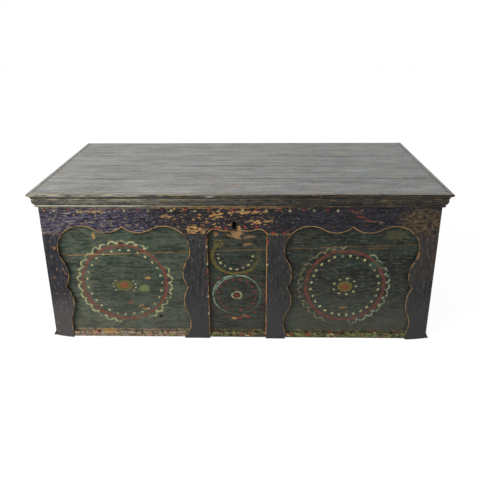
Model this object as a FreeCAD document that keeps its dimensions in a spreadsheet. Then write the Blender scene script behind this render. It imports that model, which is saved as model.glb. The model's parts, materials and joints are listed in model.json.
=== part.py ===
"""Painted pine chest: dovetailed boards, a pierced front frame, a moulded lid, strap hinges and a box lock.

The frame has +X to the viewer's right, +Y to the back and +Z up, with the origin on the floor under the
middle of the whole chest. All sizes are in millimetres.
"""
import FreeCAD, Part
import math
import os
import re

Vector = FreeCAD.Vector

# Driving dimensions
SIZES = {
    # Whole chest and lid
    "chest_height": 480,
    "lid_width": 1200,
    "lid_depth": 648,
    "lid_thickness": 24,
    "overhang": 22,
    "lid_joint_front": 161,
    "lid_joint_middle": 315,
    "lid_joint_back": 440,
    # Lid moulding
    "moulding_reach": 14,
    "moulding_height": 44,
    "nose_radius": 4,
    "nose_overlap": 0.5,
    "moulding_room": 2,
    "cavetto_depth": 5,
    "cavetto_height": 9,
    "cavetto_swell": 0.8,
    "quirk_depth": 1,
    "ovolo_swell": 3,
    "bead_height": 6.5,
    "bead_set": 2.5,
    "bead_swell": 2.2,
    "toe_width": 1,
    # Boards of the case
    "wall": 24,
    "bottom_thickness": 18,
    "front_upper_width": 159,
    "front_joint_slant": 42,
    "back_joint": 252,
    "end_joint": 236,
    "bottom_joint_front": 205,
    "bottom_joint_back": 410,
    "tail_spacing": 78,
    "pin_width": 14,
    "tail_flare": 5,
    # Pierced frame over the front
    "frame_thickness": 12,
    "rail_width": 105,
    "field_shift": -4.5,
    "corner_stile": 47,
    "middle_stile": 55,
    "spring_drop": 49,
    "ear_foot": 56,
    "ear_radius": 73,
    "left_foot_inset": 14,
    "left_foot_lean": 6,
    "middle_foot_inset": 6,
    "middle_foot_flare": 20,
    "right_foot_inset": 7,
    "right_foot_flare": 6.5,
    "side_bulge": 23,
    "side_point": 9,
    "head_bulge": 52.5,
    "head_point": 71,
    "centre_half": 86,
    "centre_drop": 7,
    "centre_ear": 22,
    "centre_bulge": 16,
    "centre_point": 24,
    "strip_lift": 3,
    "strip_height": 17,
    "strip_thickness": 9,
    "strip_bevel": 4,
    "base_height": 18,
    "base_thickness": 7,
    "base_foot": 5,
    "base_lip": 1.5,
    # Keyhole
    "keyhole_side": -12,
    "keyhole_below": 71.5,
    "keyhole_radius": 5.25,
    "keyhole_pinch": 1.15,
    "keyhole_flare": 0.9,
    "keyhole_drop": 21.5,
    "keyhole_margin": 2.5,
    # Battens under the lid
    "batten_gap": 200,
    "batten_width": 46,
    "batten_thickness": 18,
    "batten_front_room": 60,
    "batten_back_room": 14,
    # Strap hinges
    "hinge_inset": 148,
    "strap_width": 38,
    "strap_tip": 24,
    "strap_length": 360,
    "strap_thickness": 3,
    "strap_room": 0.6,
    "barrel_radius": 6.5,
    "barrel_room": 0.5,
    "knuckle_length": 22,
    "knuckle_room": 0.4,
    "leaf_width": 62,
    "leaf_foot": 40,
    "leaf_height": 95,
    "leaf_thickness": 3,
    "pin_radius": 3,
    "pin_room": 0.05,
    "pin_head_radius": 4.6,
    "pin_head_height": 2,
    # Box lock and its staple
    "plate_half": 75,
    "plate_top_room": 3,
    "plate_foot": 22,
    "plate_thickness": 2,
    "lock_nail_room": 1,
    "case_top_room": 3,
    "case_foot_room": 13,
    "case_room": 2,
    "case_wall": 2,
    "bolt_drop": 38,
    "bolt_height": 12,
    "bolt_thickness": 5,
    "bolt_tip_room": 5,
    "bolt_tail_room": 5,
    "talon_width": 12,
    "talon_depth": 4,
    "talon_side": 18,
    "guide_inset": 15,
    "guide_back": 14,
    "guide_width": 8,
    "guide_wall": 3,
    "guide_room": 0.3,
    "spring_thickness": 1.2,
    "spring_rise": 2,
    "post_radius": 2.5,
    "staple_side": 30,
    "staple_thickness": 6,
    "staple_leg": 4,
    "staple_room": 4,
    "eye_room": 1,
    "eye_rise": 3,
    "hasp_width": 60,
    "hasp_depth": 46,
    "hasp_thickness": 3,
    "hasp_room": 3,
    # Nails
    "nail_shank": 2.6,
    "nail_head_half": 5,
    "nail_head_top": 1.5,
    "nail_head_height": 1.6,
    "nail_sink": 2,
    "nail_bite": 15,
    "bottom_nail_bite": 44,
    "nail_margin": 20,
}

# Places worked out from the driving dimensions
RIM = "(chest_height - lid_thickness)"
AXIS_BACK = "(barrel_radius + barrel_room)"
LID_FRONT = f"(-(lid_depth + {AXIS_BACK} + barrel_radius) / 2)"
BACK_FACE = f"({LID_FRONT} + lid_depth)"
FRAME_FACE = f"({LID_FRONT} + overhang)"
BOARD_FACE = f"({FRAME_FACE} + frame_thickness)"
INNER_FRONT = f"({BOARD_FACE} + wall)"
INNER_BACK = f"({BACK_FACE} - wall)"
BODY_SIDE = "(lid_width / 2 - overhang)"
BOARD_SIDE = "(lid_width / 2 - moulding_reach)"
RAIL_JOINT = f"({RIM} - rail_width)"
BAY_HALF = f"(({BODY_SIDE} - corner_stile - middle_stile - centre_half) / 2)"
BAY_OFFSET = f"(centre_half + middle_stile + {BAY_HALF})"
EAR_ACROSS = f"({BAY_HALF} - ear_radius)"
HEAD_SPRING = f"({RAIL_JOINT} - spring_drop)"
EAR_UP = f"(({HEAD_SPRING} - ear_foot) / 2)"
BAY_MIDDLE = f"(({HEAD_SPRING} + ear_foot) / 2)"
CENTRE_SPRING = f"({RAIL_JOINT} - centre_drop)"
MOULDING_STEP = "(moulding_reach - nose_radius - nose_overlap)"
MOULDING_WAIST = f"({MOULDING_STEP} - cavetto_depth)"
MOULDING_HEEL = "(overhang - moulding_reach - moulding_room)"
AXIS_Y = f"({BACK_FACE} + {AXIS_BACK})"
AXIS_Z = f"({RIM} - barrel_radius)"
HINGE_X = f"({BODY_SIDE} - hinge_inset)"
BATTEN_X = f"({HINGE_X} - batten_gap)"
KEYHOLE_Z = f"({RIM} - keyhole_below)"
PLATE_FACE = f"({INNER_FRONT} + plate_thickness)"
PLATE_TOP = f"({RIM} - plate_top_room)"
PLATE_LOW = f"({KEYHOLE_Z} - keyhole_drop - plate_foot)"
CASE_HALF = "(plate_half - 2 * (nail_head_half + lock_nail_room))"
CASE_LEFT = f"(keyhole_side - {CASE_HALF})"
STAPLE_X = "(keyhole_side + staple_side)"
STAPLE_FRONT = f"({PLATE_FACE} + staple_room)"
EYE_WIDTH = "(bolt_thickness + 2 * eye_room)"
STAPLE_BACK = f"({STAPLE_FRONT} + 2 * staple_leg + {EYE_WIDTH})"
CASE_BACK = f"({STAPLE_BACK} + case_room + case_wall)"
BOLT_Y = f"(({STAPLE_FRONT} + {STAPLE_BACK}) / 2)"
BOLT_Z = f"({RIM} - bolt_drop)"
BOLT_TIP = f"({STAPLE_X} - staple_thickness / 2 - bolt_tip_room)"
LEFT_GUIDE = f"({CASE_LEFT} + case_wall + guide_inset)"
RIGHT_GUIDE = f"({BOLT_TIP} - guide_back)"

doc = FreeCAD.newDocument("PaintedChest")
sheet = doc.addObject("Spreadsheet::Sheet", "Sizes")
for row, (alias, size) in enumerate(SIZES.items(), start=1):
    sheet.set(f"A{row}", alias)
    sheet.set(f"B{row}", str(size))
    sheet.setAlias(f"B{row}", alias)
doc.recompute()


# Helpers that tie pieces to the sheet

def number(expression):
    """The present value of an expression in the sheet's names."""
    return float(sheet.evalExpression(str(expression)))


def tie(piece, prop, expression):
    """Bind one property of a piece to an expression in the sheet's names."""
    def named(word):
        return "Sizes." + word[0] if word[0] in SIZES else word[0]

    piece.setExpression(prop, re.sub(r"[a-z_]+", named, str(expression)))


def block(label, x, y, z):
    """A square-edged piece between two places along each axis."""
    piece = doc.addObject("Part::Box", label)
    for side, axis, (low, high) in zip(("Length", "Width", "Height"), "xyz", (x, y, z)):
        tie(piece, side, f"{high} - ({low})")
        tie(piece, f"Placement.Base.{axis}", low)
    return piece


def rod(label, radius, x, y, z):
    """A round bar along X between the two places given for x."""
    piece = doc.addObject("Part::Cylinder", label)
    piece.Placement.Rotation = FreeCAD.Rotation(Vector(0, 1, 0), 90)
    tie(piece, "Radius", radius)
    tie(piece, "Height", f"{x[1]} - ({x[0]})")
    for axis, place in zip("xyz", (x[0], y, z)):
        tie(piece, f"Placement.Base.{axis}", place)
    return piece


def join(label, *pieces):
    """Several shapes forged or cut as one piece."""
    whole = doc.addObject("Part::MultiFuse", label)
    whole.Shapes = list(pieces)
    whole.Refine = True
    return whole


def less(label, piece, *tools):
    """A piece with one or more shapes taken out of it."""
    tool = tools[0] if len(tools) == 1 else join(label + "_tools", *tools)
    rest = doc.addObject("Part::Cut", label)
    rest.Base = piece
    rest.Tool = tool
    return rest


def line(start, end):
    return Part.LineSegment(Vector(*start, 0), Vector(*end, 0))


def polyline(points):
    """Straight lines through the points, in order."""
    return [line(start, end) for start, end in zip(points, points[1:])]


def bow(start, end, swell):
    """An arc between two points whose middle stands off the chord, to its left when swell is positive."""
    (x0, y0), (x1, y1) = start, end
    chord = math.hypot(x1 - x0, y1 - y0)
    middle_x = (x0 + x1) / 2 - swell * (y1 - y0) / chord
    middle_y = (y0 + y1) / 2 + swell * (x1 - x0) / chord
    return Part.Arc(Vector(*start, 0), Vector(middle_x, middle_y, 0), Vector(*end, 0))


def turn(centre, start, end, clockwise=False):
    """An arc about a centre from one point to another."""
    radius = math.hypot(start[0] - centre[0], start[1] - centre[1])
    circle = Part.Circle(Vector(*centre, 0), Vector(0, 0, 1), radius)
    first = math.atan2(start[1] - centre[1], start[0] - centre[0])
    last = math.atan2(end[1] - centre[1], end[0] - centre[0])
    return Part.ArcOfCircle(circle, last, first) if clockwise else Part.ArcOfCircle(circle, first, last)


def sketch_in(body, plane, name, edges):
    """A sketch of the edges on one of the body's own planes."""
    sketch = body.newObject("Sketcher::SketchObject", name)
    base = next(feature for feature in body.Origin.OriginFeatures if feature.Role == plane)
    sketch.AttachmentSupport = [(base, "")]
    sketch.MapMode = "FlatFace"
    sketch.addGeometry(edges)
    return sketch


def profile(label, plane, edges, thickness, x="0", y="0", z="0"):
    """A body whose outline is drawn on a plane and padded to a thickness, set at a place."""
    body = doc.addObject("PartDesign::Body", label)
    for axis, place in zip("xyz", (x, y, z)):
        tie(body, f"Placement.Base.{axis}", place)
    pad = body.newObject("PartDesign::Pad", label + "_pad")
    pad.Profile = sketch_in(body, plane, label + "_outline", edges)
    tie(pad, "Length", thickness)
    return body


def pierce(body, plane, name, edges):
    """Cut an outline right through a body, both ways from the plane."""
    pocket = body.newObject("PartDesign::Pocket", name)
    pocket.Profile = sketch_in(body, plane, name + "_outline", edges)
    pocket.Type = "ThroughAll"
    pocket.SideType = "Symmetric"
    return body


# Boards of the case, with tails on the front and back boards

def tailed_end(side, low, high):
    """Points up one end of a front or back board, from low to high, with evenly spaced tails."""
    tip = side * number(BODY_SIDE)
    root = side * number(f"{BODY_SIDE} - wall")
    count = max(1, round((high - low) / number("tail_spacing")))
    pitch = (high - low) / count
    half_pin = number("pin_width / 2")
    flare = number("tail_flare")
    points = [(root, low)]
    for tail in range(count):
        start = low + tail * pitch + half_pin
        end = low + (tail + 1) * pitch - half_pin
        points += [(root, start + flare), (tip, start), (tip, end), (root, end - flare)]
    return points + [(root, high)]


def wall_board(label, face, low, high, top_edge=()):
    """A long board between two joint lines, each given by its heights at the left and right ends."""
    right = tailed_end(1, low[1], high[1])
    left = tailed_end(-1, low[0], high[0])
    points = right + list(top_edge) + left[::-1]
    return profile(label, "XZ_Plane", polyline(points + points[:1]), "wall", y=face)


def front_joint():
    """Heights of the slanting joint of the front boards where it meets the roots of the tails."""
    middle = number(f"{RIM} - front_upper_width")
    slope = number(f"front_joint_slant / (2 * {BODY_SIDE})")
    rise = slope * number(f"{BODY_SIDE} - wall")
    return middle - rise, middle + rise


def level(expression):
    return number(expression), number(expression)


def keyhole_edges(margin=0.0):
    """Keyhole outline, larger by a margin all round: a round head over a slot that flares to its foot."""
    x, z = number("keyhole_side"), number(KEYHOLE_Z)
    head = number("keyhole_radius") + margin
    waist = head - number("keyhole_pinch")
    foot = waist + number("keyhole_flare")
    neck = z - math.sqrt(head ** 2 - waist ** 2)
    bottom = z - number("keyhole_drop") - margin
    points = [(x - waist, neck), (x - foot, bottom), (x + foot, bottom), (x + waist, neck)]
    return polyline(points) + [turn((x, z), points[3], points[0])]


def front_boards():
    joint = front_joint()
    lower = wall_board("front_board_lower", INNER_FRONT, level("bottom_thickness"), joint)
    upper = wall_board("front_board_upper", INNER_FRONT, joint, level(RIM))
    pierce(upper, "XZ_Plane", "keyhole", keyhole_edges())
    return [lower, upper]


def back_boards():
    """The back boards, with notches in the rim where the hinge straps come through."""
    rim, depth = number(RIM), number("strap_thickness + strap_room")
    half = number("strap_width / 2 + strap_room")
    notches = []
    for place in (number(HINGE_X), -number(HINGE_X)):
        notches += [(place + half, rim), (place + half, rim - depth)]
        notches += [(place - half, rim - depth), (place - half, rim)]
    joint = level("back_joint")
    lower = wall_board("back_board_lower", BACK_FACE, level("bottom_thickness"), joint)
    upper = wall_board("back_board_upper", BACK_FACE, joint, level(RIM), notches)
    return [lower, upper]


def end_boards(tails):
    """Two boards at each end, whose pins fill the sockets between the tails."""
    boards = []
    for side, inner, outer in (("left", f"-({BODY_SIDE} - wall)", f"-{BODY_SIDE}"),
                               ("right", f"({BODY_SIDE} - wall)", BODY_SIDE)):
        across = (outer, inner) if side == "left" else (inner, outer)
        for name, high in (("lower", ("bottom_thickness", "end_joint")), ("upper", ("end_joint", RIM))):
            label = f"{side}_end_board_{name}"
            blank = block(label + "_blank", across, (BOARD_FACE, BACK_FACE), high)
            boards.append(less(label, blank, tails))
    return boards


def bottom_boards():
    joints = [f"({BOARD_FACE} + {name})" for name in ("bottom_joint_front", "bottom_joint_back")]
    edges = [BOARD_FACE, *joints, BACK_FACE]
    names = ("bottom_board_front", "bottom_board_middle", "bottom_board_back")
    across, high = (f"-{BODY_SIDE}", BODY_SIDE), ("0", "bottom_thickness")
    return [block(name, across, span, high) for name, span in zip(names, zip(edges, edges[1:]))]


# Pierced frame: waved edges of tangent arcs

def scallop(ear_along, ear_off, ear_radius, bulge, point):
    """Radius and centre offset of the bulge that leaves an ear smoothly and meets its mirror in a point.

    Lengths along the edge are measured from the point, and lengths off it from the middle of the bay.
    """
    rise = point - bulge
    step = bulge - ear_off
    curve = (step + rise - ear_radius) / rise
    reach = step ** 2 + ear_along ** 2 - rise ** 2 - ear_radius ** 2 + rise * (step + rise - ear_radius)
    along = 2 * reach / (2 * ear_along + math.sqrt(4 * ear_along ** 2 - 4 * curve * reach))
    return (along ** 2 + rise ** 2) / (2 * rise), along


def between(start, end, distance):
    """The point at a distance from the start on the way to the end."""
    share = distance / math.hypot(end[0] - start[0], end[1] - start[1])
    return start[0] + share * (end[0] - start[0]), start[1] + share * (end[1] - start[1])


def arch_edges(middle, spring, ear_across, ear_radius, bulge, point, start_height):
    """Scalloped head of a bay, drawn from its left end to its right end at a start height.

    Returns the edges and the half width of the bay at the start height.
    """
    radius, along = scallop(ear_across, 0, ear_radius, bulge, point)
    half = ear_across + math.sqrt(ear_radius ** 2 - (start_height - spring) ** 2)
    peak = (middle, spring + point)
    sides = []
    for side in (-1, 1):
        ear = (middle + side * ear_across, spring)
        swell = (middle + side * along, spring + bulge + radius)
        meet = between(ear, swell, ear_radius)
        foot = (middle + side * half, start_height)
        arcs = [turn(ear, foot, meet, clockwise=side < 0), turn(swell, meet, peak, clockwise=side > 0)]
        sides.append(arcs if side < 0 else arcs[::-1])
    return sides[0] + sides[1], half


def bay_head(middle):
    """Head of one of the two wide bays, above the joint between rail and stiles."""
    sizes = [number(name) for name in (HEAD_SPRING, EAR_ACROSS, "ear_radius", "head_bulge", "head_point")]
    return arch_edges(middle, *sizes, number(RAIL_JOINT))


def centre_head(middle):
    """Head of the narrow bay in the middle."""
    sizes = [number(name) for name in
             (CENTRE_SPRING, "centre_half - centre_ear", "centre_ear", "centre_bulge", "centre_point")]
    return arch_edges(middle, *sizes, number(RAIL_JOINT))


def top_rail():
    """Rail along the rim, with the heads of the three bays and a recess for the keyhole below."""
    side, joint, rim = number(BODY_SIDE), number(RAIL_JOINT), number(RIM)
    shift, offset = number("field_shift"), number(BAY_OFFSET)
    edges = []
    reached = (-side, joint)
    for middle, head in ((shift - offset, bay_head), (shift, centre_head), (shift + offset, bay_head)):
        arcs, half = head(middle)
        edges += [line(reached, (middle - half, joint))] + arcs
        reached = (middle + half, joint)
    edges += polyline([reached, (side, joint), (side, rim), (-side, rim), (-side, joint)])
    rail = profile("top_rail", "XZ_Plane", edges, "frame_thickness", y=BOARD_FACE)
    return pierce(rail, "XZ_Plane", "keyhole_recess", keyhole_edges(number("keyhole_margin")))


def waved_side(middle, side, inset="0", lean="0", flare="0"):
    """Waved edge of a stile beside a wide bay, from the rail joint to the floor.

    Its lower half comes in by the inset at the waist and by the lean at the bulge, and its foot flares out.
    """
    bay_middle, joint = number(BAY_MIDDLE), number(RAIL_JOINT)
    rise, ear_radius = number(EAR_UP), number("ear_radius")
    point = number(f"{BAY_HALF} - side_point")
    peak = (middle + side * point, bay_middle)
    edges, ends = [], []
    for up in (1, -1):
        across, bulge = number(EAR_ACROSS), number(f"{BAY_HALF} - side_bulge")
        if up < 0:
            across -= number(inset)
            bulge -= number(lean)
        radius, along = scallop(rise, across, ear_radius, bulge, point)
        ear = (middle + side * across, bay_middle + up * rise)
        swell = (middle + side * (bulge + radius), bay_middle + up * along)
        meet = between(ear, swell, ear_radius)
        height = joint
        if up < 0:
            height = max(0, ear[1] - math.sqrt(ear_radius ** 2 - (ear_radius - number(flare)) ** 2))
        end = (ear[0] + side * math.sqrt(ear_radius ** 2 - (height - ear[1]) ** 2), height)
        arcs = [turn(ear, end, meet, clockwise=side * up > 0),
                turn(swell, meet, peak, clockwise=side * up < 0)]
        edges += arcs if up > 0 else arcs[::-1]
        ends.append((end[0], joint if up > 0 else 0))
        if up < 0 < height:
            edges.append(line(end, ends[-1]))
    return edges, ends


def straight_side(middle, side):
    """Straight edge of a stile beside the narrow bay, with the end of its ear at the top."""
    joint, spring, ear = number(RAIL_JOINT), number(CENTRE_SPRING), number("centre_ear")
    centre = (middle + side * number("centre_half - centre_ear"), spring)
    top = (centre[0] + side * math.sqrt(ear ** 2 - (joint - spring) ** 2), joint)
    spring_point = (centre[0] + side * ear, spring)
    foot = (spring_point[0], 0)
    return [turn(centre, top, spring_point, clockwise=side > 0), line(spring_point, foot)], [top, foot]


def plain_side(x):
    top, foot = (x, number(RAIL_JOINT)), (x, 0)
    return [line(top, foot)], [top, foot]


def stiles():
    """Four upright pieces of the frame, from the rail down to the floor."""
    shift, offset, side = number("field_shift"), number(BAY_OFFSET), number(BODY_SIDE)
    outlines = {
        "left_stile": (
            plain_side(-side), waved_side(shift - offset, -1, "left_foot_inset", "left_foot_lean")),
        "middle_left_stile": (
            waved_side(shift - offset, 1, "middle_foot_inset", flare="middle_foot_flare"),
            straight_side(shift, -1)),
        "middle_right_stile": (
            straight_side(shift, 1), waved_side(shift + offset, -1, flare="right_foot_flare")),
        "right_stile": (
            waved_side(shift + offset, 1, "right_foot_inset", flare="right_foot_flare"), plain_side(side)),
    }
    pieces = []
    for label, ((left, left_ends), (right, right_ends)) in outlines.items():
        edges = left + right + [line(left_ends[0], right_ends[0]), line(left_ends[1], right_ends[1])]
        pieces.append(profile(label, "XZ_Plane", edges, "frame_thickness", y=BOARD_FACE))
    return pieces


def foot_strip(label, left, right):
    """Strip along the foot of one bay, cut to the edges beside it and bevelled along its top front edge."""
    low, high = number("strip_lift"), number("strip_lift + strip_height")
    thick, bevel = number("strip_thickness"), number("strip_bevel")
    section = [(0, low), (0, high), (-thick + bevel, high), (-thick, high - bevel), (-thick, low), (0, low)]
    return profile(label, "YZ_Plane", polyline(section), f"{right} - ({left})", x=left, y=BOARD_FACE)


def foot_strips(frame):
    """Strips along the foot of the three bays, scribed to the stiles."""
    bays = {
        "left_foot_strip": (f"(field_shift - {BAY_OFFSET})", BAY_HALF),
        "centre_foot_strip": ("field_shift", "centre_half"),
        "right_foot_strip": (f"(field_shift + {BAY_OFFSET})", BAY_HALF),
    }
    strips = []
    for label, (middle, half) in bays.items():
        blank = foot_strip(label + "_blank", f"({middle} - {half})", f"({middle} + {half})")
        strips.append(less(label, blank, frame))
    return strips


def base_strips():
    """Strips along the foot of both ends, sloping in above an upright foot."""
    thick, high = number("base_thickness"), number("base_height")
    foot, lip = number("base_foot"), number("base_lip")
    pieces = []
    for label, side in (("left_base_strip", -1), ("right_base_strip", 1)):
        inner = side * number(BODY_SIDE)
        outer = inner + side * thick
        section = [(inner, 0), (outer, 0), (outer, foot), (inner + side * lip, high), (inner, high)]
        edges = polyline(section + section[:1])
        pieces.append(profile(label, "XZ_Plane", edges, f"{BACK_FACE} - ({FRAME_FACE})", y=BACK_FACE))
    return pieces


# Lid

def lid_boards():
    joints = [f"({LID_FRONT} + {name})" for name in
              ("moulding_reach", "lid_joint_front", "lid_joint_middle", "lid_joint_back", "lid_depth")]
    names = ("lid_board_front", "lid_board_second", "lid_board_third", "lid_board_back")
    across, high = (f"-{BOARD_SIDE}", BOARD_SIDE), (RIM, "chest_height")
    return [block(name, across, span, high) for name, span in zip(names, zip(joints, joints[1:]))]


def moulding_edges(out):
    """Section of the lid moulding from the boards' edge outwards, +1 or -1.

    A nose, a cavetto, a quirk, an ovolo and a bead follow one another down the face, and a heel reaches back
    under the lid.
    """
    top, rim = number("chest_height"), number(RIM)
    low = top - number("moulding_height")
    nose, reach, heel = number("nose_radius"), number("moulding_reach"), number(MOULDING_HEEL)
    under_nose = top - 2 * nose
    shoulder = under_nose - number("cavetto_height")
    toe = number("toe_width") - heel
    waist = number(MOULDING_WAIST)
    corners = [(-heel, low), (-heel, rim), (0, rim), (0, top), (reach - nose, top),
               (reach - nose, under_nose), (number(MOULDING_STEP), under_nose),
               (waist, shoulder), (waist - number("quirk_depth"), shoulder),
               (toe + number("bead_set"), low + number("bead_height")), (toe, low)]
    place = [(out * across, height) for across, height in corners]
    return polyline(place[:5]) + [
        bow(place[4], place[5], out * nose),
        line(place[5], place[6]),
        bow(place[6], place[7], -out * number("cavetto_swell")),
        line(place[7], place[8]),
        bow(place[8], place[9], out * number("ovolo_swell")),
        bow(place[9], place[10], out * number("bead_swell")),
        line(place[10], place[0])]


def lid_mouldings():
    """Front and end mouldings, mitred where they meet at the front corners."""
    half, reach, heel = number("lid_width / 2"), number("moulding_reach"), number(MOULDING_HEEL)
    front = number(LID_FRONT)
    front_piece = profile("lid_moulding_front", "YZ_Plane", moulding_edges(-1), "lid_width",
                          x="-lid_width / 2", y=f"{LID_FRONT} + moulding_reach")
    pieces = [front_piece]
    for side in (-1, 1):
        local = half + side * half
        corner = [(local, -reach), (local - side * (reach + heel), heel), (local, heel), (local, -reach)]
        pierce(front_piece, "XY_Plane", f"mitre_{local:.0f}", polyline(corner))
    for label, side in (("lid_moulding_left", -1), ("lid_moulding_right", 1)):
        piece = profile(label, "XZ_Plane", moulding_edges(side), "lid_depth",
                        x=f"{side} * {BOARD_SIDE}", y=BACK_FACE)
        near = front - number(BACK_FACE)
        inner = -side * heel
        corner = [(side * reach, near), (inner, near + reach + heel), (inner, near), (side * reach, near)]
        pieces.append(pierce(piece, "XY_Plane", label + "_mitre", polyline(corner)))
    return pieces


def lid_battens():
    pieces = []
    for label, side in (("lid_batten_left", -1), ("lid_batten_right", 1)):
        middle = f"{side} * {BATTEN_X}"
        across = (f"({middle} - batten_width / 2)", f"({middle} + batten_width / 2)")
        along = (f"({INNER_FRONT} + batten_front_room)", f"({INNER_BACK} - batten_back_room)")
        pieces.append(block(label, across, along, (f"({RIM} - batten_thickness)", RIM)))
    return pieces


# Strap hinges

def hinge_strap(label, place):
    """Lid strap: a tapering bar with a rounded tip, rolled into an eye at the back."""
    root, tip, length = number("strap_width / 2"), number("strap_tip / 2"), number("strap_length")
    neck = number("knuckle_length / 2")
    shoulder = -number(AXIS_BACK)
    end = -length + tip
    right = [(neck, 0), (neck, shoulder), (root, shoulder), (tip, end)]
    left = [(-x, y) for x, y in right[::-1]]
    edges = polyline(right) + [bow(right[-1], left[0], tip)] + polyline(left + right[:1])
    bar = profile(label + "_bar", "XY_Plane", edges, "strap_thickness",
                  x=place, y=AXIS_Y, z=f"{RIM} - strap_thickness")
    across = (f"({place} - knuckle_length / 2)", f"({place} + knuckle_length / 2)")
    eye = rod(label + "_eye", "barrel_radius", across, AXIS_Y, AXIS_Z)
    bore = rod(label + "_bore", "pin_radius + pin_room", across, AXIS_Y, AXIS_Z)
    return less(label, join(label + "_forging", bar, eye), bore)


def hinge_leaf(label, place):
    """Back leaf: a tapering plate with a rounded foot and two eyes, open between them for the strap's eye."""
    half, foot, height = number("leaf_width / 2"), number("leaf_foot / 2"), number("leaf_height")
    opening = number("knuckle_length / 2 + knuckle_room")
    depth = -number("barrel_radius + knuckle_room")
    right = [(opening, depth), (opening, 0), (half, 0), (half, depth), (foot, foot - height)]
    left = [(-x, z) for x, z in right[::-1]]
    edges = polyline(right) + [bow(right[-1], left[0], foot)] + polyline(left + right[:1])
    plate = profile(label + "_plate", "XZ_Plane", edges, "leaf_thickness",
                    x=place, y=f"{BACK_FACE} + leaf_thickness", z=AXIS_Z)
    inner = "(knuckle_length / 2 + knuckle_room)"
    spans = {"near": (f"({place} - leaf_width / 2)", f"({place} - {inner})"),
             "far": (f"({place} + {inner})", f"({place} + leaf_width / 2)")}
    eyes = [rod(f"{label}_{name}_eye", "barrel_radius", span, AXIS_Y, AXIS_Z) for name, span in spans.items()]
    across = (f"({place} - leaf_width / 2)", f"({place} + leaf_width / 2)")
    bore = rod(label + "_bore", "pin_radius + pin_room", across, AXIS_Y, AXIS_Z)
    return less(label, join(label + "_forging", plate, *eyes), bore)


def hinge_pin(label, place):
    """Pin through the three eyes, with a hammered head at each end."""
    left, right = f"({place} - leaf_width / 2)", f"({place} + leaf_width / 2)"
    shank = rod(label + "_shank", "pin_radius", (left, right), AXIS_Y, AXIS_Z)
    spans = {"left": (f"({left} - pin_head_height)", left), "right": (right, f"({right} + pin_head_height)")}
    heads = [rod(f"{label}_{name}_head", "pin_head_radius", span, AXIS_Y, AXIS_Z)
             for name, span in spans.items()]
    return join(label, shank, *heads)


# Box lock and staple

def lock_plate():
    x, half = number("keyhole_side"), number("plate_half")
    top, low = number(PLATE_TOP), number(PLATE_LOW)
    corners = [(x - half, low), (x + half, low), (x + half, top), (x - half, top), (x - half, low)]
    plate = profile("lock_plate", "XZ_Plane", polyline(corners), "plate_thickness", y=PLATE_FACE)
    return pierce(plate, "XZ_Plane", "plate_keyhole", keyhole_edges())


def lock_case():
    """Box over the works, open towards the plate, with a slot in its top for the staple."""
    left, right = CASE_LEFT, f"(keyhole_side + {CASE_HALF})"
    low, top = f"({PLATE_LOW} + case_foot_room)", f"({RIM} - hasp_thickness - case_top_room)"
    inner_back = f"({CASE_BACK} - case_wall)"
    slot_half = "(staple_thickness / 2 + hasp_room)"
    shell = block("case_shell", (left, right), (PLATE_FACE, CASE_BACK), (low, top))
    hollow = block("case_hollow", (f"({left} + case_wall)", f"({right} - case_wall)"),
                   (PLATE_FACE, inner_back), (f"({low} + case_wall)", f"({top} - case_wall)"))
    slot = block("case_slot", (f"({STAPLE_X} - {slot_half})", f"({STAPLE_X} + {slot_half})"),
                 (PLATE_FACE, inner_back), (f"({top} - 2 * case_wall)", top))
    return less("lock_case", shell, hollow, slot)


def lock_bolt():
    """Flat bolt with a notch under it where the key's bit pushes."""
    bar = block("bolt_bar", (f"({CASE_LEFT} + case_wall + bolt_tail_room)", BOLT_TIP),
                (f"({BOLT_Y} - bolt_thickness / 2)", f"({BOLT_Y} + bolt_thickness / 2)"),
                (f"({BOLT_Z} - bolt_height / 2)", f"({BOLT_Z} + bolt_height / 2)"))
    talon = block("bolt_talon", ("(keyhole_side - talon_side)", "(keyhole_side - talon_side + talon_width)"),
                  (f"({BOLT_Y} - bolt_thickness)", f"({BOLT_Y} + bolt_thickness)"),
                  (f"({BOLT_Z} - bolt_height)", f"({BOLT_Z} - bolt_height / 2 + talon_depth)"))
    return less("lock_bolt", bar, talon)


def bolt_guides():
    """Two iron blocks on the plate, each with a window that the bolt slides through."""
    room = "(bolt_height / 2 + guide_room)"
    front = f"({BOLT_Y} - bolt_thickness / 2 - guide_room)"
    back = f"({BOLT_Y} + bolt_thickness / 2 + guide_room)"
    pieces = []
    for label, left in (("left_bolt_guide", LEFT_GUIDE), ("right_bolt_guide", RIGHT_GUIDE)):
        across = (left, f"({left} + guide_width)")
        body = block(label + "_block", across, (PLATE_FACE, f"({back} + guide_wall)"),
                     (f"({BOLT_Z} - {room} - guide_wall)", f"({BOLT_Z} + {room} + guide_wall)"))
        window = block(label + "_window", across, (front, back),
                       (f"({BOLT_Z} - {room})", f"({BOLT_Z} + {room})"))
        pieces.append(less(label, body, window))
    return pieces


def bolt_spring():
    """Bowed leaf spring between the guides, bearing on the bolt from above."""
    left, right = number(f"{LEFT_GUIDE} + guide_width + guide_room"), number(f"{RIGHT_GUIDE} - guide_room")
    thick = number("spring_thickness")
    low = number(f"{BOLT_Z} + bolt_height / 2 + guide_room + spring_rise")
    ends = [(left, low), (right, low), (right, low + thick), (left, low + thick)]
    rise = number("spring_rise")
    edges = [bow(ends[0], ends[1], -rise), line(ends[1], ends[2]),
             bow(ends[2], ends[3], rise), line(ends[3], ends[0])]
    return profile("bolt_spring", "XZ_Plane", edges, "bolt_thickness", y=f"{BOLT_Y} + bolt_thickness / 2")


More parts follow.
